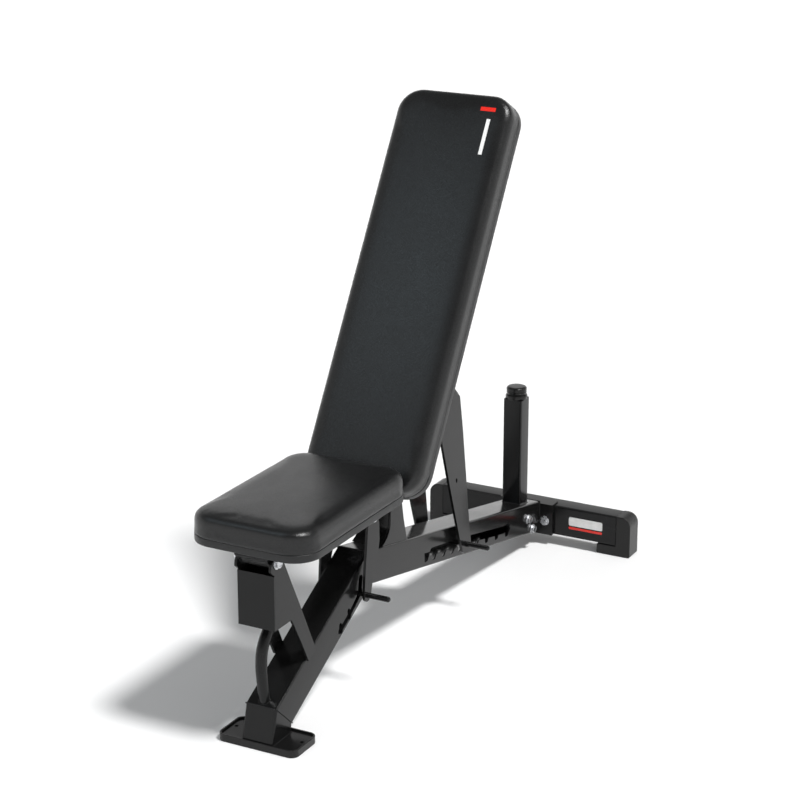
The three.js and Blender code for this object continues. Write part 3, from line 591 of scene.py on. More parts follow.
@dataclass(frozen=True)
class PrintedBar:
    """A plain bar printed on a pad: a rectangle in the pad's plane."""

    origin: tuple[float, float, float]
    turn: tuple[float, float, float]
    half: tuple[float, float]
    lowest: float
    colour: tuple[float, float, float, float]
    blur: float = 0.0004

    def mask(self, w: Wiring, place: bpy.types.NodeSocket) -> bpy.types.NodeSocket:
        """One inside the bar: where both distances from its middle lines are within its halves
        and the point lies above the given height on the pad.

        Args:
            w: the material's wiring.
            place: Object coordinates.

        Returns:
            The mask's socket.
        """
        spot = {"Vector": place, "Location": self.origin, "Rotation": self.turn}
        node = w.add("Mapping", {"vector_type": "TEXTURE"}, **spot)
        axes = w.add("SeparateXYZ", None, Vector=node.outputs[0])
        inside = w.math("GREATER_THAN", axes.outputs["Z"], self.lowest)
        for name, half in zip("XY", self.half):
            away = w.math("ABSOLUTE", axes.outputs[name])
            within = w.ramp(away, half - self.blur, half + self.blur, 1.0, 0.0)
            inside = w.math("MULTIPLY", inside, within)
        return inside


@dataclass(frozen=True)
class MouldedRubber:
    """Moulded rubber with a fine spark-eroded skin."""

    name: str = "Moulded black rubber"
    colour: float = 0.006
    roughness: tuple[float, float] = (0.20, 0.32)

    def build(self, effects: Effects) -> bpy.types.Material:
        """Wires a fine skin, scuffed edges and dust."""
        d = Draft(self.name, effects)
        w = d.wiring
        tone = d.group(effects.mottle, Scale=14.0).outputs["Value"]
        wear_and_highlight = d.group(effects.wear_and_highlight, Radius=0.0018).outputs["Mask"]
        dust = d.group(effects.dust, Amount=0.04).outputs["Mask"]
        base = w.blend(tone, grey(self.colour, 0.02), grey(self.colour * 1.6, 0.02))
        base = w.blend(w.math("MULTIPLY", wear_and_highlight, 0.6), base, grey(0.045))
        d.feed("Base Color", w.blend(dust, base, grey(0.2, 0.05)))
        rough = w.ramp(tone, 0.0, 1.0, *self.roughness)
        rough = w.math("ADD", rough, w.math("MULTIPLY", wear_and_highlight, 0.2))
        d.feed("Roughness", w.math("ADD", rough, w.math("MULTIPLY", dust, 0.5), clamp=True))
        d.set(Specular_IOR_Level=0.3)
        d.bump(d.group(effects.peel, Scale=1100.0).outputs["Height"], 0.00012, 0.6)
        return d.material


@dataclass(frozen=True)
class TurnedMetal:
    """Bare or plated turned metal with fine tool lines."""

    name: str
    colour: tuple[float, float, float]
    roughness: tuple[float, float]
    stain: float

    def build(self, effects: Effects) -> bpy.types.Material:
        """Wires tool lines, handling stains and dulled edges."""
        d = Draft(self.name, effects)
        w = d.wiring
        tone = d.group(effects.mottle, Scale=120.0).outputs["Value"]
        wear_and_highlight = d.group(effects.wear_and_highlight, Radius=0.0006).outputs["Mask"]
        dark = tuple(c * self.stain for c in self.colour) + (1.0,)
        bright = tuple(min(1.0, c * 1.2) for c in self.colour) + (1.0,)
        base = w.blend(w.math("MULTIPLY", tone, 0.7), self.colour + (1.0,), dark)
        d.feed("Base Color", w.blend(wear_and_highlight, base, bright))
        d.feed("Roughness", w.ramp(tone, 0.0, 1.0, *self.roughness))
        d.set(Metallic=1.0)
        tool = {"Vector": d.place, "Scale": 900.0, "Distortion": 3.0, "Detail": 2.0}
        lines = w.add("TexWave", {"bands_direction": "DIAGONAL"}, **tool)
        d.bump(lines.outputs["Fac"], 0.00004, 0.4)
        return d.material


@dataclass(frozen=True)
class PrintedFilm:
    """A plain printed film stuck to the paint."""

    name: str
    colour: tuple[float, float, float]

    def build(self, effects: Effects) -> bpy.types.Material:
        """Wires a slight tone change and rubbed corners."""
        d = Draft(self.name, effects)
        w = d.wiring
        tone = d.group(effects.mottle, Scale=60.0).outputs["Value"]
        pale = self.colour + (1.0,)
        dull = tuple(c * 0.82 for c in self.colour) + (1.0,)
        d.feed("Base Color", w.blend(tone, pale, dull))
        d.feed("Roughness", w.ramp(tone, 0.0, 1.0, 0.32, 0.45))
        d.bump(d.group(effects.peel, Scale=500.0).outputs["Height"], 0.00005, 0.4)
        return d.material


@dataclass(frozen=True)
class StudioFloor:
    """The pale floor, one flat square under the bench."""

    name: str = "Pale studio floor"
    colour: float = 0.93

    def build(self, effects: Effects) -> bpy.types.Material:
        """Wires a faint tone change over a matt surface."""
        d = Draft(self.name, effects)
        tone = d.group(effects.mottle, Scale=1.5).outputs["Value"]
        d.feed("Base Color", d.wiring.blend(tone, grey(self.colour), grey(self.colour * 0.99)))
        d.set(Roughness=0.9, Specular_IOR_Level=0.1)
        return d.material


# ------------------------------------------------------------------------------------------------
# What the sub-assemblies share
# ------------------------------------------------------------------------------------------------
# The back pad's own frame: its tilt, the lower end of its board's upper face and half its length.
BACK_TILT = 58.64
BACK_FOOT = (0.0, -0.199, 0.3977)
BACK_HALF_LENGTH = 0.442
BACK_PLACE = Matrix.Translation(BACK_FOOT) @ Matrix.Rotation(math.radians(BACK_TILT), 4, "X")

PRINT_RED, PRINT_PALE = (0.80, 0.020, 0.010), (0.86, 0.86, 0.85)
# Bars printed on the back's cushion: x, y in the back's own frame, half width, half length, colour.
PRINTS = (
    (0.0835, 0.846, 0.0175, 0.0045, PRINT_RED),
    (0.0905, 0.784, 0.0042, 0.0400, PRINT_PALE),
)

# Points nearer than this are one, faces that turn by less are flat, edges that turn by more are
# rounded.
SAME_POINT, FLAT_WITHIN, ROUNDED_FROM = 0.00002, 0.6, 28.0


class Workshop:
    """The finishes, each built once, and the calls that put a piece in the bench."""

    def __init__(self) -> None:
        """Builds every finish."""
        effects = Effects()
        tilt = math.radians(BACK_TILT)
        prints = tuple(
            PrintedBar(
                origin=tuple(BACK_PLACE @ Vector((x, y, 0.0))),
                turn=(tilt, 0.0, 0.0),
                half=(half_x, half_y),
                lowest=0.02,
                colour=colour + (1.0,),
            )
            for x, y, half_x, half_y, colour in PRINTS
        )
        self.effects = effects
        self.materials = {
            Slot.PAINT: GlossPaint().build(effects),
            Slot.LEATHER: SyntheticLeather("Fine-grained black leather").build(effects),
            Slot.BOARD: SyntheticLeather(
                "Wrapped board leather", colour=0.0085, roughness=(0.30, 0.40), grain_height=0.00009
            ).build(effects),
            Slot.RUBBER: MouldedRubber().build(effects),
            Slot.ZINC: TurnedMetal(
                "Bright zinc", colour=(0.62, 0.63, 0.65), roughness=(0.20, 0.34), stain=0.75
            ).build(effects),
            Slot.BRONZE: TurnedMetal(
                "Oiled bronze", colour=(0.45, 0.33, 0.14), roughness=(0.34, 0.5), stain=0.6
            ).build(effects),
        }
        self.printed_leather = SyntheticLeather("Printed black leather", prints=prints).build(effects)
        self.films = {
            "red": PrintedFilm("Red film", PRINT_RED).build(effects),
            "pale": PrintedFilm("Pale film", PRINT_PALE).build(effects),
        }
        record = frame["record"]
        self.slots = {part["node"]: Slot(part["material_slot"]) for part in record["subparts"]}
        bodies = record["behaviour"]["bodies"]
        self.bodies = {node: Body(body) for body, nodes in bodies.items() for node in nodes}
        self.finished: set[str] = set()

    def fit(
        self,
        piece: bpy.types.Object,
        body: Body,
        slot: Slot,
        replaced: Sequence[str] = (),
        material: Optional[bpy.types.Material] = None,
    ) -> bpy.types.Object:
        """Finishes a piece and sets it on its body.

        Args:
            piece: the new object, in its place.
            body: what it moves with.
            slot: the finish's slot in the record.
            replaced: CAD nodes that it stands for.
            material: a finish other than the slot's own.

        Returns:
            The piece.
        """
        piece.data.materials.clear()
        piece.data.materials.append(material or self.materials[slot])
        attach(piece, body.value)
        if replaced:
            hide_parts(*replaced)
            self.finished.update(replaced)
        LOG.info("%s rides on %s, %d points", piece.name, body.value, len(piece.data.vertices))
        return piece

    def soften(self, node: str, width: float, segments: int = 2) -> bpy.types.Object:
        """A CAD node's own shape with its edges rounded by a Bevel.

        Args:
            node: the node that the piece stands for.
            width: width of the rounding.
            segments: faces across it.

        Returns:
            The finished piece.
        """
        mesh = frame["nodes"][node].data.copy()
        mesh.name = "softened_" + node
        shape = bmesh.new()
        shape.from_mesh(mesh)
        bmesh.ops.remove_doubles(shape, verts=shape.verts[:], dist=SAME_POINT)
        bmesh.ops.dissolve_limit(
            shape, angle_limit=math.radians(FLAT_WITHIN), verts=shape.verts[:], edges=shape.edges[:]
        )
        shape.to_mesh(mesh)
        shape.free()
        mesh.shade_smooth()
        piece = bpy.data.objects.new("softened_" + node, mesh)
        bpy.context.scene.collection.objects.link(piece)
        bevel = piece.modifiers.new("Rounded edges", "BEVEL")
        bevel.width = width
        bevel.segments = segments
        bevel.limit_method = "ANGLE"
        bevel.angle_limit = math.radians(ROUNDED_FROM)
        bevel.miter_outer = "MITER_ARC" if segments > 2 else "MITER_SHARP"
        weigh = piece.modifiers.new("Face weighted normals", "WEIGHTED_NORMAL")
        weigh.keep_sharp = False
        return self.fit(piece, self.bodies[node], self.slots[node], [node])

    def carry_over(self) -> None:
        """Gives every CAD node that still shows its finish."""
        for node, piece in frame["nodes"].items():
            if node in self.finished:
                continue
            piece.data.materials.clear()
            piece.data.materials.append(self.materials[self.slots[node]])
            LOG.info("%s keeps its shape", node)


# ------------------------------------------------------------------------------------------------
# Pads
# ------------------------------------------------------------------------------------------------
@dataclass
class Pad:
    """A foam cushion on a wrapped board. Its own frame has x across, y along and z out of the
    cushion, with its origin in the middle of the board's upper face."""

    prefix: str
    body: Body
    place: Matrix
    half_x: float
    half_y: float
    board: float = 0.016
    sink: float = 0.0024
    foam: float = 0.0476
    corner: float = 0.056
    edge: float = 0.0185
    low_edge: float = 0.0016
    crown: float = 0.0015
    slack: float = -0.0014
    voxel: float = 0.005
    held_below: float = 0.0010
    pressure: float = 4.0
    frames: int = 20
    cap: float = 0.0022
    board_edge: float = 0.0016
    staple_inset: float = 0.013
    staple_pitch: float = 0.021
    fill: float = 0.85

    def cushion_shell(self) -> Shell:
        """The foam before its cover swells it: an outline carried up a profile that is flat below,
        upright at the side, a quarter circle over the edge and slightly crowned on top, where the
        height gains the crown times one less the square of the share of the way to the edge.

        Returns:
            The shell, in the pad's own frame.
        """
        bottom, side, low, edge = -self.sink, self.slack, self.low_edge, self.edge
        high = self.foam - self.crown
        profile = [(self.half_x - 0.006, bottom), (self.half_x * 0.5, bottom), (side + 0.012, bottom)]
        angle = np.linspace(0, math.pi / 2, 6)
        profile += list(zip(side + low * (1 - np.sin(angle)), bottom + low * (1 - np.cos(angle))))
        angle = np.linspace(0, math.pi / 2, 12)
        profile += list(zip(side + edge * (1 - np.cos(angle)), high - edge + edge * np.sin(angle)))
        reach = self.half_x - side - edge
        share = np.linspace(0.15, 0.94, 7)
        rise = self.crown * (1 - (1 - share) ** 2)
        profile += list(zip(side + edge + reach * share, high + rise))
        return slab(self.half_x, self.half_y, self.corner, profile)

    def inflate(self, piece: bpy.types.Object) -> None:
        """Voxel remesh, then a pressurised cloth held where it rests on the board. No point moves
        further than the cap.

        Args:
            piece: the cushion, changed in place.
        """
        scene = bpy.context.scene
        remesh = piece.modifiers.new("Even mesh", "REMESH")
        remesh.mode = "VOXEL"
        remesh.voxel_size = self.voxel
        smooth = piece.modifiers.new("Even out", "SMOOTH")
        smooth.iterations = 4
        self.apply(piece)
        count = len(piece.data.vertices)
        rest = np.empty(count * 3, np.float32)
        piece.data.vertices.foreach_get("co", rest)
        rest = rest.reshape(-1, 3)
        held = piece.vertex_groups.new(name="Held by the board")
        held.add(np.flatnonzero(rest[:, 2] < self.held_below).tolist(), 1.0, "REPLACE")
        cloth = piece.modifiers.new("Cover", "CLOTH")
        settings = cloth.settings
        settings.vertex_group_mass = held.name
        settings.use_pressure = True
        settings.uniform_pressure_force = self.pressure
        settings.effector_weights.gravity = 0.0
        settings.quality = 5
        cloth.collision_settings.use_collision = False
        cloth.point_cache.frame_start = 1
        cloth.point_cache.frame_end = self.frames
        for step in range(1, self.frames + 1):
            scene.frame_set(step)
        self.apply(piece)
        scene.frame_set(1)
        moved = np.empty(count * 3, np.float32)
        piece.data.vertices.foreach_get("co", moved)
        travel = moved.reshape(-1, 3) - rest
        length = np.linalg.norm(travel, axis=1, keepdims=True)
        travel *= np.minimum(1.0, self.cap / np.maximum(length, 1e-9))
        piece.data.vertices.foreach_set("co", (rest + travel).ravel())
        piece.data.update()
        settle = piece.modifiers.new("Settle", "SMOOTH")
        settle.iterations = 2
        self.apply(piece)
        piece.vertex_groups.clear()
        piece.data.shade_smooth()

    @staticmethod
    def apply(piece: bpy.types.Object) -> None:
        """Replaces a piece's mesh by what its modifiers give, and removes them."""
        graph = bpy.context.evaluated_depsgraph_get()
        made = bpy.data.meshes.new_from_object(piece.evaluated_get(graph), depsgraph=graph)
        piece.modifiers.clear()
        piece.data = made

    def board_shell(self) -> Shell:
        """The wrapped board: an outline carried up a profile with small rounded edges.

        Returns:
            The shell, in the pad's own frame.
        """
        r, low = self.board_edge, -self.board
        angle = np.linspace(0, math.pi / 2, 5)
        profile = [(self.half_x - 0.006, low), (0.012, low)]
        profile += list(zip(r * (1 - np.sin(angle)), low + r * (1 - np.cos(angle))))
        profile += list(zip(r * (1 - np.cos(angle)), r * np.sin(angle) - r))
        profile += [(0.012, 0.0), (self.half_x - 0.006, 0.0)]
        return slab(self.half_x, self.half_y, self.corner, profile)

    def staple_shell(self) -> Shell:
        """Staples round the underside: a small bar at even steps along the outline drawn in by
        the inset, each turned along it.

        Returns:
            The staples as one shell, in the pad's own frame.
        """
        inset = self.staple_inset
        ring = rounded_ring(self.half_x - inset, self.half_y - inset, self.corner - inset, 24)
        ring = np.concatenate([ring, ring[:1]])
        run = np.concatenate([[0], np.cumsum(np.linalg.norm(np.diff(ring, axis=0), axis=1))])
        at = np.linspace(0, run[-1], int(run[-1] / self.staple_pitch), endpoint=False)
        middle = np.stack([np.interp(at, run, ring[:, i]) for i in (0, 1)], -1)
        ahead = np.stack([np.interp((at + 0.002) % run[-1], run, ring[:, i]) for i in (0, 1)], -1)
        along = ahead - middle
        along /= np.linalg.norm(along, axis=1, keepdims=True)
        outward = np.stack([along[:, 1], -along[:, 0]], -1)
        half, thick, deep = 0.005, 0.0006, 0.0005
        ends = np.array([[-1, -1], [1, -1], [1, 1], [-1, 1]], float)
        corners = (
            middle[:, None]
            + half * ends[None, :, :1] * along[:, None]
            + thick * ends[None, :, 1:] * outward[:, None]
        )
        levels = (-self.board - deep, -self.board + deep)
        return joined(
            lofted(np.stack([np.column_stack([point, np.full(4, z)]) for z in levels]))
            for point in corners
        )

    def build(self, shop: Workshop, cover: Optional[bpy.types.Material] = None) -> None:
        """Builds the cushion, its board and the staples.

        Args:
            shop: finishes and fitting.
            cover: the cushion's own leather, if it isn't the usual one.
        """
        cushion = self.cushion_shell().to_object(self.prefix + "_foam_cushion")
        self.inflate(cushion)
        cushion.data.transform(self.place)
        fine = cushion.modifiers.new("Fine mesh", "SUBSURF")
        fine.levels = fine.render_levels = 1
        shop.fit(cushion, self.body, Slot.LEATHER, [self.prefix + "_cushion"], cover)
        board = self.board_shell().placed(self.place).to_object(self.prefix + "_wrapped_board", 60)
        shop.fit(board, self.body, Slot.BOARD, [self.prefix + "_base_board"])
        staples = self.staple_shell().placed(self.place).to_object(self.prefix + "_staples", 30)
        shop.fit(staples, self.body, Slot.ZINC)


# ------------------------------------------------------------------------------------------------
# Fasteners
# ------------------------------------------------------------------------------------------------
@dataclass(frozen=True)
class Fastener:
    """A hexagon bolt with washers, and a nut where its end comes out."""

    name: str
    body: Body
    at: tuple[float, float, float]
    axis: tuple[float, float, float]
    corner: float
    head: float
    shank: float
    length: float
    nodes: tuple[str, ...]
    nut: float = 0.0
    tail: float = 0.003
    nut_corner: float = 0.0
    washer: float = 0.0016
    thread_pitch: float = 0.00125

    @staticmethod
    def hexagon(corner: float, height: float, start: float, dished: bool) -> Shell:
        """A hexagon head: its radius at each angle is the smaller of the flat's distance over the
        cosine of the angle from the flat's middle, and a cone that cuts the corners off on top.

        Args:
            corner: radius to the corners.
            height: its height.
            start: where it begins along its axis.
            dished: whether its top has a shallow dish.

        Returns:
            The shell, along +Z.
        """
        sides = 72
        angle = np.linspace(0, 2 * math.pi, sides, endpoint=False)
        flat = corner * math.cos(math.pi / 6)
        outline = flat / np.cos((angle + math.pi / 6) % (math.pi / 3) - math.pi / 6)
        chamfer, top = 0.18 * height, start + height
        rows = [(start, flat * 1.02), (start + 0.0004, corner)]
        for t in np.linspace(0, 1, 5):
            rows.append((top - chamfer * (1 - t), corner + (flat * 0.97 - corner) * t))
        if dished:
            rows += [(top, flat * 0.72), (top - 0.0005, flat * 0.66)]
        else:
            rows += [(top, flat * 0.6)]
        height_of, limit = np.array(rows).T[:, :, None]
        radius = np.minimum(outline, limit)
        rings = [radius * np.cos(angle), radius * np.sin(angle), height_of + 0 * radius]
        return lofted(np.stack(rings, -1))

    def thread(self, start: float, end: float) -> Shell:
        """A shank end whose radius drops and rises by a tenth at each turn of its thread.

        Args:
            start: nearer end along the axis.
            end: further end, which is chamfered.

        Returns:
            The shell, along +Z.
        """
        count = max(2, int(abs(end - start) / self.thread_pitch)) * 2
        height = np.linspace(start, end, count + 1)
        radius = self.shank * np.where(np.arange(count + 1) % 2, 0.91, 1.0)
        profile = list(zip(radius, height))
        profile[-1] = (self.shank * 0.8, end)
        return lathe(profile, 24)

    def build(self, shop: Workshop) -> None:
        """Builds the fastener as one piece; its axis points from the shank to the head."""
        w, rim, bevel = self.washer, self.corner * 1.2, 0.0003
        disk = [(self.shank, 0.0), (rim - bevel, 0.0), (rim, bevel)]
        disk += [(rim, w - bevel), (rim - bevel, w), (self.shank, w)]
        shells = [lathe(disk, 40), self.hexagon(self.corner, self.head, w, True)]
        if self.nut:
            far = -self.length
            nut_corner = self.nut_corner or self.corner
            shells.append(lathe([(r, far - z) for r, z in disk], 40))
            flip = Matrix.Translation((0, 0, far - w)) @ Matrix.Rotation(math.pi, 4, "X")
            shells.append(self.hexagon(nut_corner, self.nut, 0.0, False).placed(flip))
            shells.append(self.thread(far, far - w - self.nut - self.tail))
            shells.append(lathe([(self.shank, far), (self.shank, 0.0)], 24))
        else:
            shells.append(self.thread(0.0, -self.length))
        piece = joined(shells).placed(axis_frame(self.at, self.axis)).to_object(self.name, 32)
        shop.fit(piece, self.body, Slot.ZINC, self.nodes)


# ------------------------------------------------------------------------------------------------
# Welds
# ------------------------------------------------------------------------------------------------
@dataclass(frozen=True)
class WeldSeams:
    """Fillet welds along the joints of one body."""

    name: str
    body: Body
    radius: float
    paths: tuple[tuple[tuple[float, float, float], ...], ...]
    pitch: float = 0.0034
    step: float = 0.0009

    def bead(self, path: Sequence[Sequence[float]]) -> Shell:
        """One bead: its radius is the nominal one times 0.86 plus 0.14 of the size of a sine of
        the way along, which makes the ripples, and falls to nothing as a root at both ends.

        Args:
            path: corners of the joint's line.

        Returns:
            The bead.
        """
        corners = np.array(path, float)
        run = np.concatenate([[0], np.cumsum(np.linalg.norm(np.diff(corners, axis=0), axis=1))])
        at = np.linspace(0, run[-1], max(8, int(run[-1] / self.step)))
        line = np.stack([np.interp(at, run, corners[:, i]) for i in range(3)], -1)
        ripple = 0.86 + 0.14 * np.abs(np.sin(math.pi * at / self.pitch))
        taper = np.sqrt(np.clip(np.minimum(at, run[-1] - at) / (2 * self.radius), 0.02, 1))
        return rail(line, self.radius * ripple * taper, 10)

    def build(self, shop: Workshop) -> None:
        """Builds all of the body's beads as one painted piece."""
        piece = joined(self.bead(path) for path in self.paths).to_object(self.name, 60)
        shop.fit(piece, self.body, Slot.PAINT)


def circle_path(
    centre: Sequence[float], u: Sequence[float], v: Sequence[float], radius: float, count: int = 25
) -> tuple[tuple[float, float, float], ...]:
    """A closed circle: the centre plus the radius times u cos a plus v sin a."""
    angle = np.linspace(0, 2 * math.pi, count)[:, None]
    points = np.array(centre) + radius * (np.cos(angle) * np.array(u) + np.sin(angle) * np.array(v))
    return tuple(map(tuple, points.tolist()))


# ------------------------------------------------------------------------------------------------
# Base
# ------------------------------------------------------------------------------------------------
# Bars of film on the cross tube: name, x and z of the middle, half width, half height.
FILM_BARS = (
    ("pale", 0.154, 0.068, 0.044, 0.0110),
    ("red", 0.154, 0.051, 0.044, 0.0030),
)


@dataclass
class Base:
    """The fixed steel base, its feet and its fasteners."""

    leg_at: tuple[float, float] = (-0.251, 0.287)
    leg_slope: float = 0.5418
    beam_at: tuple[float, float] = (0.0, 0.2361)
    beam_slope: float = -0.206
    leg_half: float = 0.036
    beam_half: float = 0.0365
    beam_end: float = 0.6117
    steel_edge: float = 0.0009
    tube_edge: float = 0.0022
    rubber_edge: float = 0.0024
    pad_edge: float = 0.0014
    gap: float = 0.0003
    weld_radius: float = 0.0014
    grip_radius: float = 0.012
    grip_line: tuple[tuple[float, float], ...] = (
        (-0.606, 0.074),
        (-0.610, 0.100),
        (-0.616, 0.140),
        (-0.619, 0.172),
        (-0.616, 0.198),
        (-0.606, 0.218),
        (-0.593, 0.234),
        (-0.5855, 0.248),
        (-0.584, 0.2572),
    )
    steel_nodes: tuple[str, ...] = (
        "front_foot_plate",
        "front_side_plate_left",
        "front_side_plate_right",
        "front_cover_plate",
        "riser_plate_left",
        "riser_plate_right",
        "rear_flange_plate",
        "beam_end_sleeve",
    )
    tube_nodes: tuple[str, ...] = ("foot_stub", "rear_cross_tube", "rear_post")
    open_tube_nodes: tuple[str, ...] = ("front_leg", "main_beam")
    rubber_nodes: tuple[str, ...] = ("rear_foot_cap_left", "rear_foot_cap_right")
    knob_profile: tuple[tuple[float, float], ...] = (
        (0.0180, -0.0470),
        (0.0180, -0.0292),
        (0.0252, -0.0292),
        (0.0260, -0.0284),
        (0.0260, -0.0225),
        (0.0250, -0.0198),
        (0.0212, -0.0186),
        (0.0204, -0.0170),
        (0.0212, -0.0152),
        (0.0236, -0.0146),
        (0.0240, -0.0128),
        (0.0226, -0.0112),
        (0.0226, -0.0102),
        (0.0240, -0.0088),
        (0.0238, -0.0040),
        (0.0226, -0.0014),
        (0.0200, -0.0002),
        (0.0150, 0.0),
    )

    def leg_top(self, y: float) -> float:
        """Height of the leg's upper face at y."""
        return self.leg_at[1] + self.leg_slope * (y - self.leg_at[0])

    def beam_top(self, y: float) -> float:
        """Height of the beam's upper face at y."""
        return self.beam_at[1] + self.beam_slope * (y - self.beam_at[0])

    def grip(self, shop: Workshop) -> None:
        """The bent pull bar: a circle carried along a smooth line in the middle plane."""
        path = smooth_path([(0.0, y, z) for y, z in self.grip_line], 12)
        bar = rail(path, np.full(len(path), self.grip_radius), 40)
        shop.fit(bar.to_object("bent_pull_bar", 50), Body.BASE, Slot.PAINT, ["grab_handle"])

    def stopper(self, shop: Workshop) -> None:
        """The rubber stopper on the rear post: a turned knob with a waist and a ribbed rim."""
        low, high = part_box("rear_post_stopper")
        place = Matrix.Translation(((low.x + high.x) / 2, (low.y + high.y) / 2, high.z))
        knob = lathe(self.knob_profile, 64).placed(place).to_object("post_stopper_knob", 45)
        shop.fit(knob, Body.BASE, Slot.RUBBER, ["rear_post_stopper"])

    def fasteners(self, shop: Workshop) -> None:
        """Bolts of the beam's end, the flange and both main hinges."""
        right, forward = (1, 0, 0), (0, -1, 0)
        beam = self.beam_half + self.gap
        for name, y, z in (("upper", 0.545, 0.086), ("lower", 0.570, 0.053)):
            node = "beam_bolt_" + name
            sizes = {"corner": 0.0100, "head": 0.0065, "shank": 0.0058, "length": 2 * beam}
            Fastener(
                node + "_set", Body.BASE, (beam, y, z), right, nodes=(node,), nut=0.008, **sizes
            ).build(shop)
        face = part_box("rear_flange_plate")[0].y
        for name, x in (("left", -0.050), ("right", 0.050)):
            node = "flange_bolt_" + name
            sizes = {"corner": 0.0100, "head": 0.0060, "shank": 0.0058, "length": 0.034}
            Fastener(
                node + "_set", Body.BASE, (x, face, 0.062), forward, nodes=(node,), **sizes
            ).build(shop)
        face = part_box("front_side_plate_right")[1].x + self.gap
        Fastener(
            "seat_hinge_bolt_set",
            Body.BASE,
            (face, -0.621, 0.398),
            right,
            corner=0.011,
            head=0.006,
            shank=0.008,
            length=2 * face,
            nodes=("seat_pivot_bolt", "seat_pivot_nut"),
            nut=0.006,
            nut_corner=0.012,
            tail=0.0012,
        ).build(shop)
        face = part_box("riser_plate_right")[1].x + self.gap
        Fastener(
            "back_hinge_bolt_set",
            Body.BASE,
            (face, -0.135, 0.380),
            right,
            corner=0.012,
            head=0.0065,
            shank=0.008,
            length=2 * face,
            nodes=("back_pivot_bolt", "back_pivot_nut"),
            nut=0.009,
            nut_corner=0.013,
            tail=0.0015,
            washer=0.0012,
        ).build(shop)

    def seams(self, shop: Workshop) -> None:
        """Welds at the base's joints."""
        leg, beam = self.leg_half, self.beam_half
        stub_top, stub_heel = -0.6232, -0.5625
        stub_z = self.leg_top(stub_top)
        heel_z = self.leg_top(stub_heel) - 0.078 * math.hypot(1, self.leg_slope)
        inner = leg - 0.0025
        paths = [
            ((-inner, *self.leg_at), (inner, *self.leg_at)),
            ((-inner, stub_top, stub_z), (inner, stub_top, stub_z)),
        ]
        for side in (-1, 1):
            x = side * (leg + 0.0002)
            paths.append(((x, *self.leg_at), (x, -0.235, 0.2076)))
            paths.append(((x, stub_top, stub_z), (x, stub_heel, heel_z)))
            paths.append(((x, -0.5068, 0.1440), (x, -0.4780, 0.1600)))
            for reach in (0.0311, 0.0362):
                foot = [(side * reach, y, self.beam_top(y) + 0.0004) for y in (-0.188, -0.13, -0.078)]
                paths.append(tuple(foot))
        plate, front, rear = 0.0124, -0.642, -0.568
        corners = [(-leg, front), (leg, front), (leg, rear), (-leg, rear), (-leg, front)]
        paths.append(tuple((x, y, plate) for x, y in corners))
        post, front, rear = 0.024, 0.523, 0.569
        corners = [(-post, front), (post, front), (post, rear), (-post, rear), (-post, front)]
        paths.append(tuple((x, y, self.beam_top(y)) for x, y in corners))
        y, top = self.beam_end - 0.0004, self.beam_top(self.beam_end)
        low = top - 0.0773
        corners = [(-beam, low), (-beam, top), (beam, top), (beam, low), (-beam, low)]
        paths.append(tuple((x, y, z) for x, z in corners))
        across, ahead = (1, 0, 0), (0, 1, 0)
        slope = tuple(Vector((0.0, 1.0, self.leg_slope)).normalized())
        bar, foot_y = self.grip_radius + 0.0006, -0.6085
        paths.append(circle_path((0, foot_y, self.leg_top(foot_y)), across, slope, bar))
        paths.append(circle_path((0, -0.584, 0.2570), across, ahead, bar))
        WeldSeams("base_weld_seams", Body.BASE, self.weld_radius, tuple(paths)).build(shop)

    def films(self, shop: Workshop) -> None:
        """Two plain bars of film on the front of the cross tube, with rounded corners."""
        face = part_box("rear_cross_tube")[0].y
        upright = Matrix.Rotation(math.pi / 2, 4, "X")
        back, side, front = -0.0001, 0.00015, 0.00025
        profile = [(0.0012, back), (0.0, back), (0.0, side), (0.0002, front), (0.0012, front)]
        for name, x, z, half_x, half_z in FILM_BARS:
            bar = slab(half_x, half_z, 0.0022, profile, 6)
            placed = bar.placed(Matrix.Translation((x, face, z)) @ upright)
            piece = placed.to_object(name + "_film_bar", 30)
            shop.fit(piece, Body.BASE, Slot.PAINT, (), shop.films[name])

    def build(self, shop: Workshop) -> None:
        """Builds the base's finished pieces."""
        for node in self.steel_nodes + self.open_tube_nodes:
            shop.soften(node, self.steel_edge)
        for node in self.tube_nodes:
            shop.soften(node, self.tube_edge)
        for node in self.rubber_nodes:
            shop.soften(node, self.rubber_edge, 3)
        shop.soften("front_foot_pad", self.pad_edge, 3)
        self.grip(shop)
        self.stopper(shop)
        self.fasteners(shop)
        self.seams(shop)
        self.films(shop)


# ------------------------------------------------------------------------------------------------
# Moving steelwork
# ------------------------------------------------------------------------------------------------
@dataclass
class Strut:
    """A strut: two plates, its pins and, on the back's, a tie tube."""

    body: Body
    edge: float = 0.0009
    pin_edge: float = 0.0011
    tie_end: tuple[float, float, float] = (0.0497, 0.096, 0.425)
    tie_radius: float = 0.0122
    weld_radius: float = 0.0018

    def build(self, shop: Workshop) -> None:
        """Softens the strut's pieces and welds its tie tube."""
        for node, body in shop.bodies.items():
            if body is self.body:
                shop.soften(node, self.pin_edge if "pin" in node else self.edge)
        if self.body is Body.BACK_STRUT:
            x, y, z = self.tie_end
            ends = tuple(
                circle_path((side * x, y, z), (0, 1, 0), (0, 0, 1), self.tie_radius) for side in (-1, 1)
            )
            WeldSeams("strut_weld_seams", self.body, self.weld_radius, ends).build(shop)


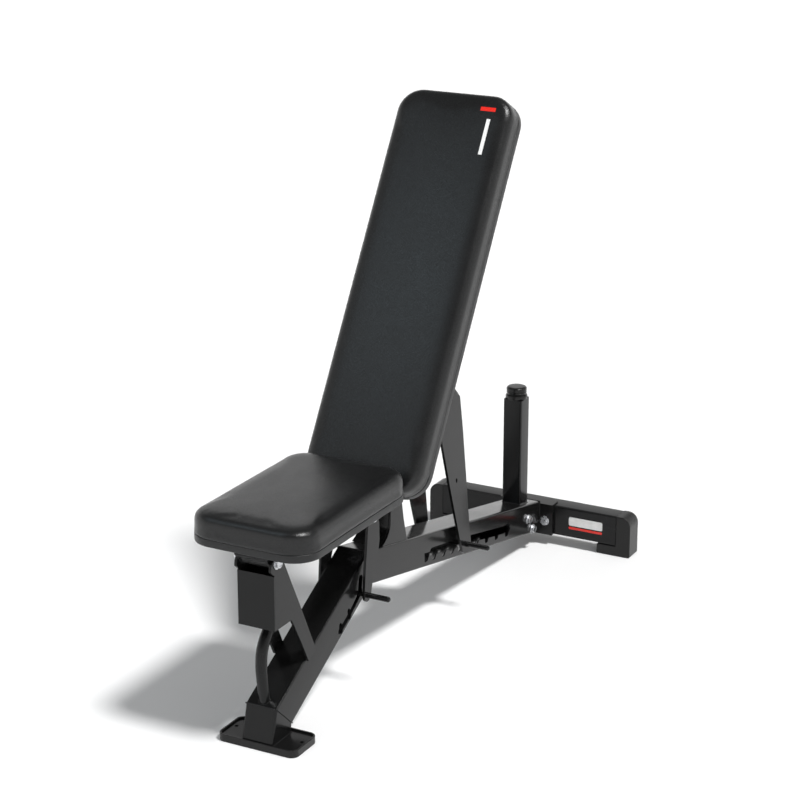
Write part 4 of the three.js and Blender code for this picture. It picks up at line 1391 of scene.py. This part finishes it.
@dataclass
class SeatFrame:
    """The steel under the seat."""

    edge: float = 0.0009
    small_edge: float = 0.0004
    plate_under: float = 0.4207
    rear_weld: tuple[float, float, float] = (0.0437, -0.345, -0.305)
    front_weld: tuple[float, float, float] = (0.0357, -0.560, -0.495)
    weld_radius: float = 0.0019

    def build(self, shop: Workshop) -> None:
        """Softens the seat's steel and adds its welds."""
        for node, body in shop.bodies.items():
            if body is Body.SEAT and node not in shop.finished:
                small = "bush" in node or "screw" in node
                shop.soften(node, self.small_edge if small else self.edge)
        z = self.plate_under
        paths = tuple(
            ((side * x, start, z), (side * x, end, z))
            for side in (-1, 1)
            for x, start, end in (self.rear_weld, self.front_weld)
        )
        WeldSeams("seat_weld_seams", Body.SEAT, self.weld_radius, paths).build(shop)


@dataclass
class BackFrame:
    """The steel behind the back pad."""

    edge: float = 0.0009
    small_edge: float = 0.0004
    spine_edge: float = 0.0016
    spine_half: float = 0.021
    plate_low: float = -0.0203
    weld_radius: float = 0.0020

    def build(self, shop: Workshop) -> None:
        """Softens the back's steel and adds its welds, drawn in the back's own frame."""
        for node, body in shop.bodies.items():
            if body is Body.BACK and node not in shop.finished:
                if "screw" in node or "bush" in node:
                    shop.soften(node, self.small_edge)
                else:
                    shop.soften(node, self.spine_edge if node == "back_spine" else self.edge)
        z = self.plate_low
        paths = []
        for side in (-1, 1):
            x = side * (self.spine_half + 0.0004)
            for low, high in ((0.127, 0.150), (0.472, 0.538)):
                paths.append([(x, low, z - 0.001), (x, high, z - 0.001)])
            x = side * 0.0279
            paths.append([(x, 0.045, z), (x, 0.110, z)])
        placed = tuple(tuple(tuple(BACK_PLACE @ Vector(p)) for p in path) for path in paths)
        WeldSeams("back_weld_seams", Body.BACK, self.weld_radius, placed).build(shop)


# ------------------------------------------------------------------------------------------------
# Studio
# ------------------------------------------------------------------------------------------------
@dataclass(frozen=True)
class Softbox:
    """A rectangular lamp: its place, the point it faces, its width and height, watts and colour."""

    name: str
    at: tuple[float, float, float]
    aim: tuple[float, float, float]
    size: tuple[float, float]
    power: float
    colour: tuple[float, float, float]

    def build(self) -> None:
        """Hangs the lamp."""
        data = bpy.data.lights.new(self.name, "AREA")
        data.shape, data.energy, data.color = "RECTANGLE", self.power, self.colour
        data.size, data.size_y = self.size
        lamp = bpy.data.objects.new(self.name, data)
        lamp.location = self.at
        lamp.rotation_euler = facing(Vector(self.aim) - Vector(self.at))
        bpy.context.scene.collection.objects.link(lamp)


def facing(direction: Vector) -> Euler:
    """The turn that points a lamp along a direction."""
    return direction.to_track_quat("-Z", "Y").to_euler()


@dataclass
class Studio:
    """The camera, the lights and the floor."""

    camera_at: tuple[float, float, float] = (2.1237, -4.0096, 2.0372)
    camera_turn: tuple[float, float, float] = (71.75, 0.0, 28.15)
    lens: float = 100.1
    sensor: float = 36.0
    view_depth: float = 200.0
    floor_size: float = 40.0
    horizon: tuple[float, float] = (0.24, 1.08)
    zenith: tuple[float, float] = (0.6, 0.21)
    sun: float = 2.9
    sun_angle: float = 10.0
    sun_travel: tuple[float, float, float] = (-0.54, 0.05, -1.0)
    softbox: Softbox = Softbox(
        "Cool softbox",
        at=(-1.07, -1.65, 2.46),
        aim=(0.07, -0.01, 0.79),
        size=(0.5, 0.8),
        power=4.0,
        colour=(0.74, 0.90, 1.0),
    )

    def camera(self) -> None:
        """The camera, without depth of field or shift."""
        data = bpy.data.cameras.new("Camera")
        data.lens, data.sensor_width, data.clip_end = self.lens, self.sensor, self.view_depth
        view = bpy.data.objects.new("Camera", data)
        view.location = self.camera_at
        view.rotation_euler = Euler([math.radians(a) for a in self.camera_turn])
        bpy.context.scene.collection.objects.link(view)
        bpy.context.scene.camera = view

    def surroundings(self) -> None:
        """A white room, bright up to the horizon's height and dimmer towards the zenith's; each
        is a height on the unit sphere with the light's strength there."""
        world = bpy.data.worlds.new("Studio")
        world.use_nodes = True
        bpy.context.scene.world = world
        w = Wiring(world.node_tree)
        up = w.add("SeparateXYZ", None, Vector=w.add("TexCoord").outputs["Generated"])
        (low, bright), (high, dim) = self.horizon, self.zenith
        level = w.ramp(up.outputs["Z"], low, high, bright, dim)
        shade = w.add("Background", None, Color=(1.0, 1.0, 1.0, 1.0), Strength=level)
        world.node_tree.links.new(shade.outputs[0], w.add("OutputWorld").inputs[0])

    def key(self) -> None:
        """The key lamp, a broad sun."""
        data = bpy.data.lights.new("Key lamp", "SUN")
        data.energy, data.angle = self.sun, math.radians(self.sun_angle)
        lamp = bpy.data.objects.new("Key lamp", data)
        lamp.rotation_euler = facing(Vector(self.sun_travel))
        bpy.context.scene.collection.objects.link(lamp)

    def floor(self, shop: Workshop) -> None:
        """The floor, one large square."""
        half = self.floor_size / 2
        corners = [(-half, -half, 0), (half, -half, 0), (half, half, 0), (-half, half, 0)]
        mesh = bpy.data.meshes.new("studio_floor")
        mesh.from_pydata(corners, [], [(0, 1, 2, 3)])
        mesh.materials.append(StudioFloor().build(shop.effects))
        floor = bpy.data.objects.new("studio_floor", mesh)
        bpy.context.scene.collection.objects.link(floor)

    def build(self, shop: Workshop) -> None:
        """Sets the stage."""
        bpy.context.scene.view_settings.view_transform = "Standard"
        self.camera()
        self.surroundings()
        self.key()
        self.softbox.build()
        self.floor(shop)


def main() -> None:
    """Builds the bench part by part."""
    logging.basicConfig(level=logging.INFO, format="%(name)s %(message)s")
    shop = Workshop()
    low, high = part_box("seat_base_board")
    half_y = (high.y - low.y) / 2
    place = Matrix.Translation((0.0, low.y + half_y, high.z))
    Pad("seat", Body.SEAT, place, high.x, half_y).build(shop)
    half_x, half_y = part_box("back_base_board")[1].x, BACK_HALF_LENGTH
    place = BACK_PLACE @ Matrix.Translation((0.0, half_y, 0.0))
    Pad("back", Body.BACK, place, half_x, half_y).build(shop, shop.printed_leather)
    Base().build(shop)
    Strut(Body.SEAT_STRUT).build(shop)
    Strut(Body.BACK_STRUT).build(shop)
    SeatFrame().build(shop)
    BackFrame().build(shop)
    shop.carry_over()
    Studio().build(shop)


if __name__ == "__main__":
    main()
